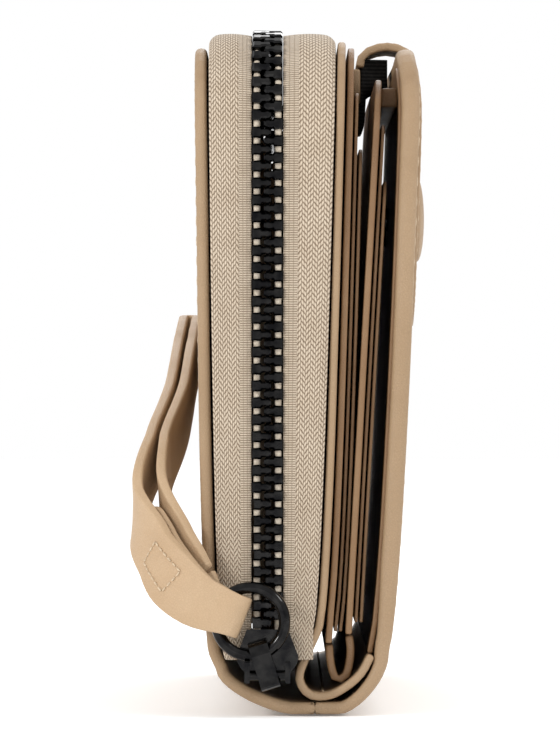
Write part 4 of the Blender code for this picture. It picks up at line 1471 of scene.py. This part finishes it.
def pocket_place(co):
    """The walls close on each other towards both ends, where they are sewn together."""
    point = pocket_bend(co)
    share = min(max((abs(co.y) - pocket_half + pocket_seam_reach) / pocket_seam_reach, 0), 1)
    closing = share * share * (3 - 2 * share)
    side = 1 if point.x > pocket_middle else -1
    beyond = abs(point.x - pocket_middle) - pocket_half_depth + pocket_wall
    closed = pocket_middle + side * beyond
    if (point.x - pocket_middle) * (closed - pocket_middle) < 0:
        closed = pocket_middle
    point.x += (closed - point.x) * closing
    return point


finish_piece(
    "coin_pocket_leather",
    flat_cut(pocket_line.length, pocket_half, pocket_wall, 0.00025, 0.0080, 0.0080, across=0.008),
    page_brown_painted_shade,
    "coin_pocket",
    ["coin_pocket_front", "coin_pocket_back", "coin_pocket_base"],
    pocket_place,
    ring_crease(pocket_line.length, pocket_half, 0.0018, 0.0004, 0.3),
)

coin_cloth = tape_cloth("coin_zip_cloth", 0.5)
for side in ("front", "back"):
    node = "coin_zip_tape_" + side
    low, high = (Vector(corner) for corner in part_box(node))
    length, half, thickness = high.y - low.y, (high.x - low.x) / 2, high.z - low.z
    blank = flat_cut(length, half, thickness, 0.00018, 0.0003, 0.0003, 0.003, 0.001)
    start = Vector(((low.x + high.x) / 2, low.y, low.z))
    finish_piece(
        "coin_tape_" + side,
        blank,
        coin_cloth,
        "coin_pocket",
        [node],
        lambda co, start=start: start + Vector((co.y, co.z, co.x)),
    )

coin_scale = 0.46
coin_pitch = coin_scale * tooth_pitch
coin_low, coin_high = (Vector(corner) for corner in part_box("coin_zip_teeth_front"))
coin_z = (coin_low.z + coin_high.z) / 2
for side, sign, offset in (("front", -1, 0.0), ("back", 1, coin_pitch / 2)):
    places = []
    y = coin_low.y + offset + 0.001
    while y < coin_high.y - 0.001:
        places.append((Vector((pocket_middle, y, coin_z)), Vector((0, 1, 0)), Vector((0, 0, 1))))
        y += coin_pitch
    tooth_row("coin_teeth_" + side, "coin_zip_teeth_" + side, "coin_pocket", places, sign, coin_scale)
plated("coin_slider", 0.00012)
plated("coin_pull", 0.0002)

# ---------------------------------------------------------------------------------------------
# Perimeter sewing: the turned edges of the cover are stitched down 3 mm inside the rim, on the zip
# side and on the flap, and the loop of the spine lining is caught with one row.

seam_inset = 0.0030
seam_pitch = 0.0031


def rim_seam(name, line, half_width, top_corner, low_z, body, sign):
    """Stitches round the two ends and the top of a cover, on its outer face."""
    length = line.length
    marks = [step / 400 * length for step in range(400)]
    first = next(mark for mark in marks if line.at(mark)[0].y > low_z)
    path = rounded_path(half_width - seam_inset, first, length - seam_inset, top_corner - seam_inset)
    places = []
    for flat, direction in along_path(path, seam_pitch):
        point, across = line.at(flat.y)
        ahead = line.at(min(flat.y + 0.0005, length))[0] - line.at(flat.y - 0.0005)[0]
        ahead = ahead.normalized()
        out = sign * Vector((across.x, 0, across.y))
        upward = Vector((ahead.x, 0, ahead.y))
        along = (direction.x * Vector((0, 1, 0)) + direction.y * upward).normalized()
        places.append((Vector((point.x, flat.x, point.y)) - out * stitch_sink, along, out))
    return stitches(name, places, body, 0.0023)


rim_seam("front_cover_seam", front_line, wallet_half, cover_corner, fold_left.y + 0.006, "front", 1)
rim_seam("flap_seam", flap_line, flap_half, flap_corner, flap_fold.y + 0.006, "flap", -1)
loop_seam = []
loop_x = base_right.x - 0.0024
loop_marks = zip(panel_line.marks, panel_line.points)
loop_mark = next(mark for mark, point in loop_marks if point.x < loop_x)
point, across = panel_line.at(loop_mark)
row_half = wallet_half - 0.0012
count = int(2 * row_half / 0.0036)
for step in range(count):
    y = -row_half + 2 * row_half * (step + 0.5) / count
    out = Vector((-across.x, 0, -across.y))
    surface = Vector((point.x, y, point.y)) + out * (panel_leather / 2 + 0.00006)
    loop_seam.append((surface, Vector((0, 1, 0)), out))
stitches("spine_loop_seam", loop_seam, "back", 0.0024)
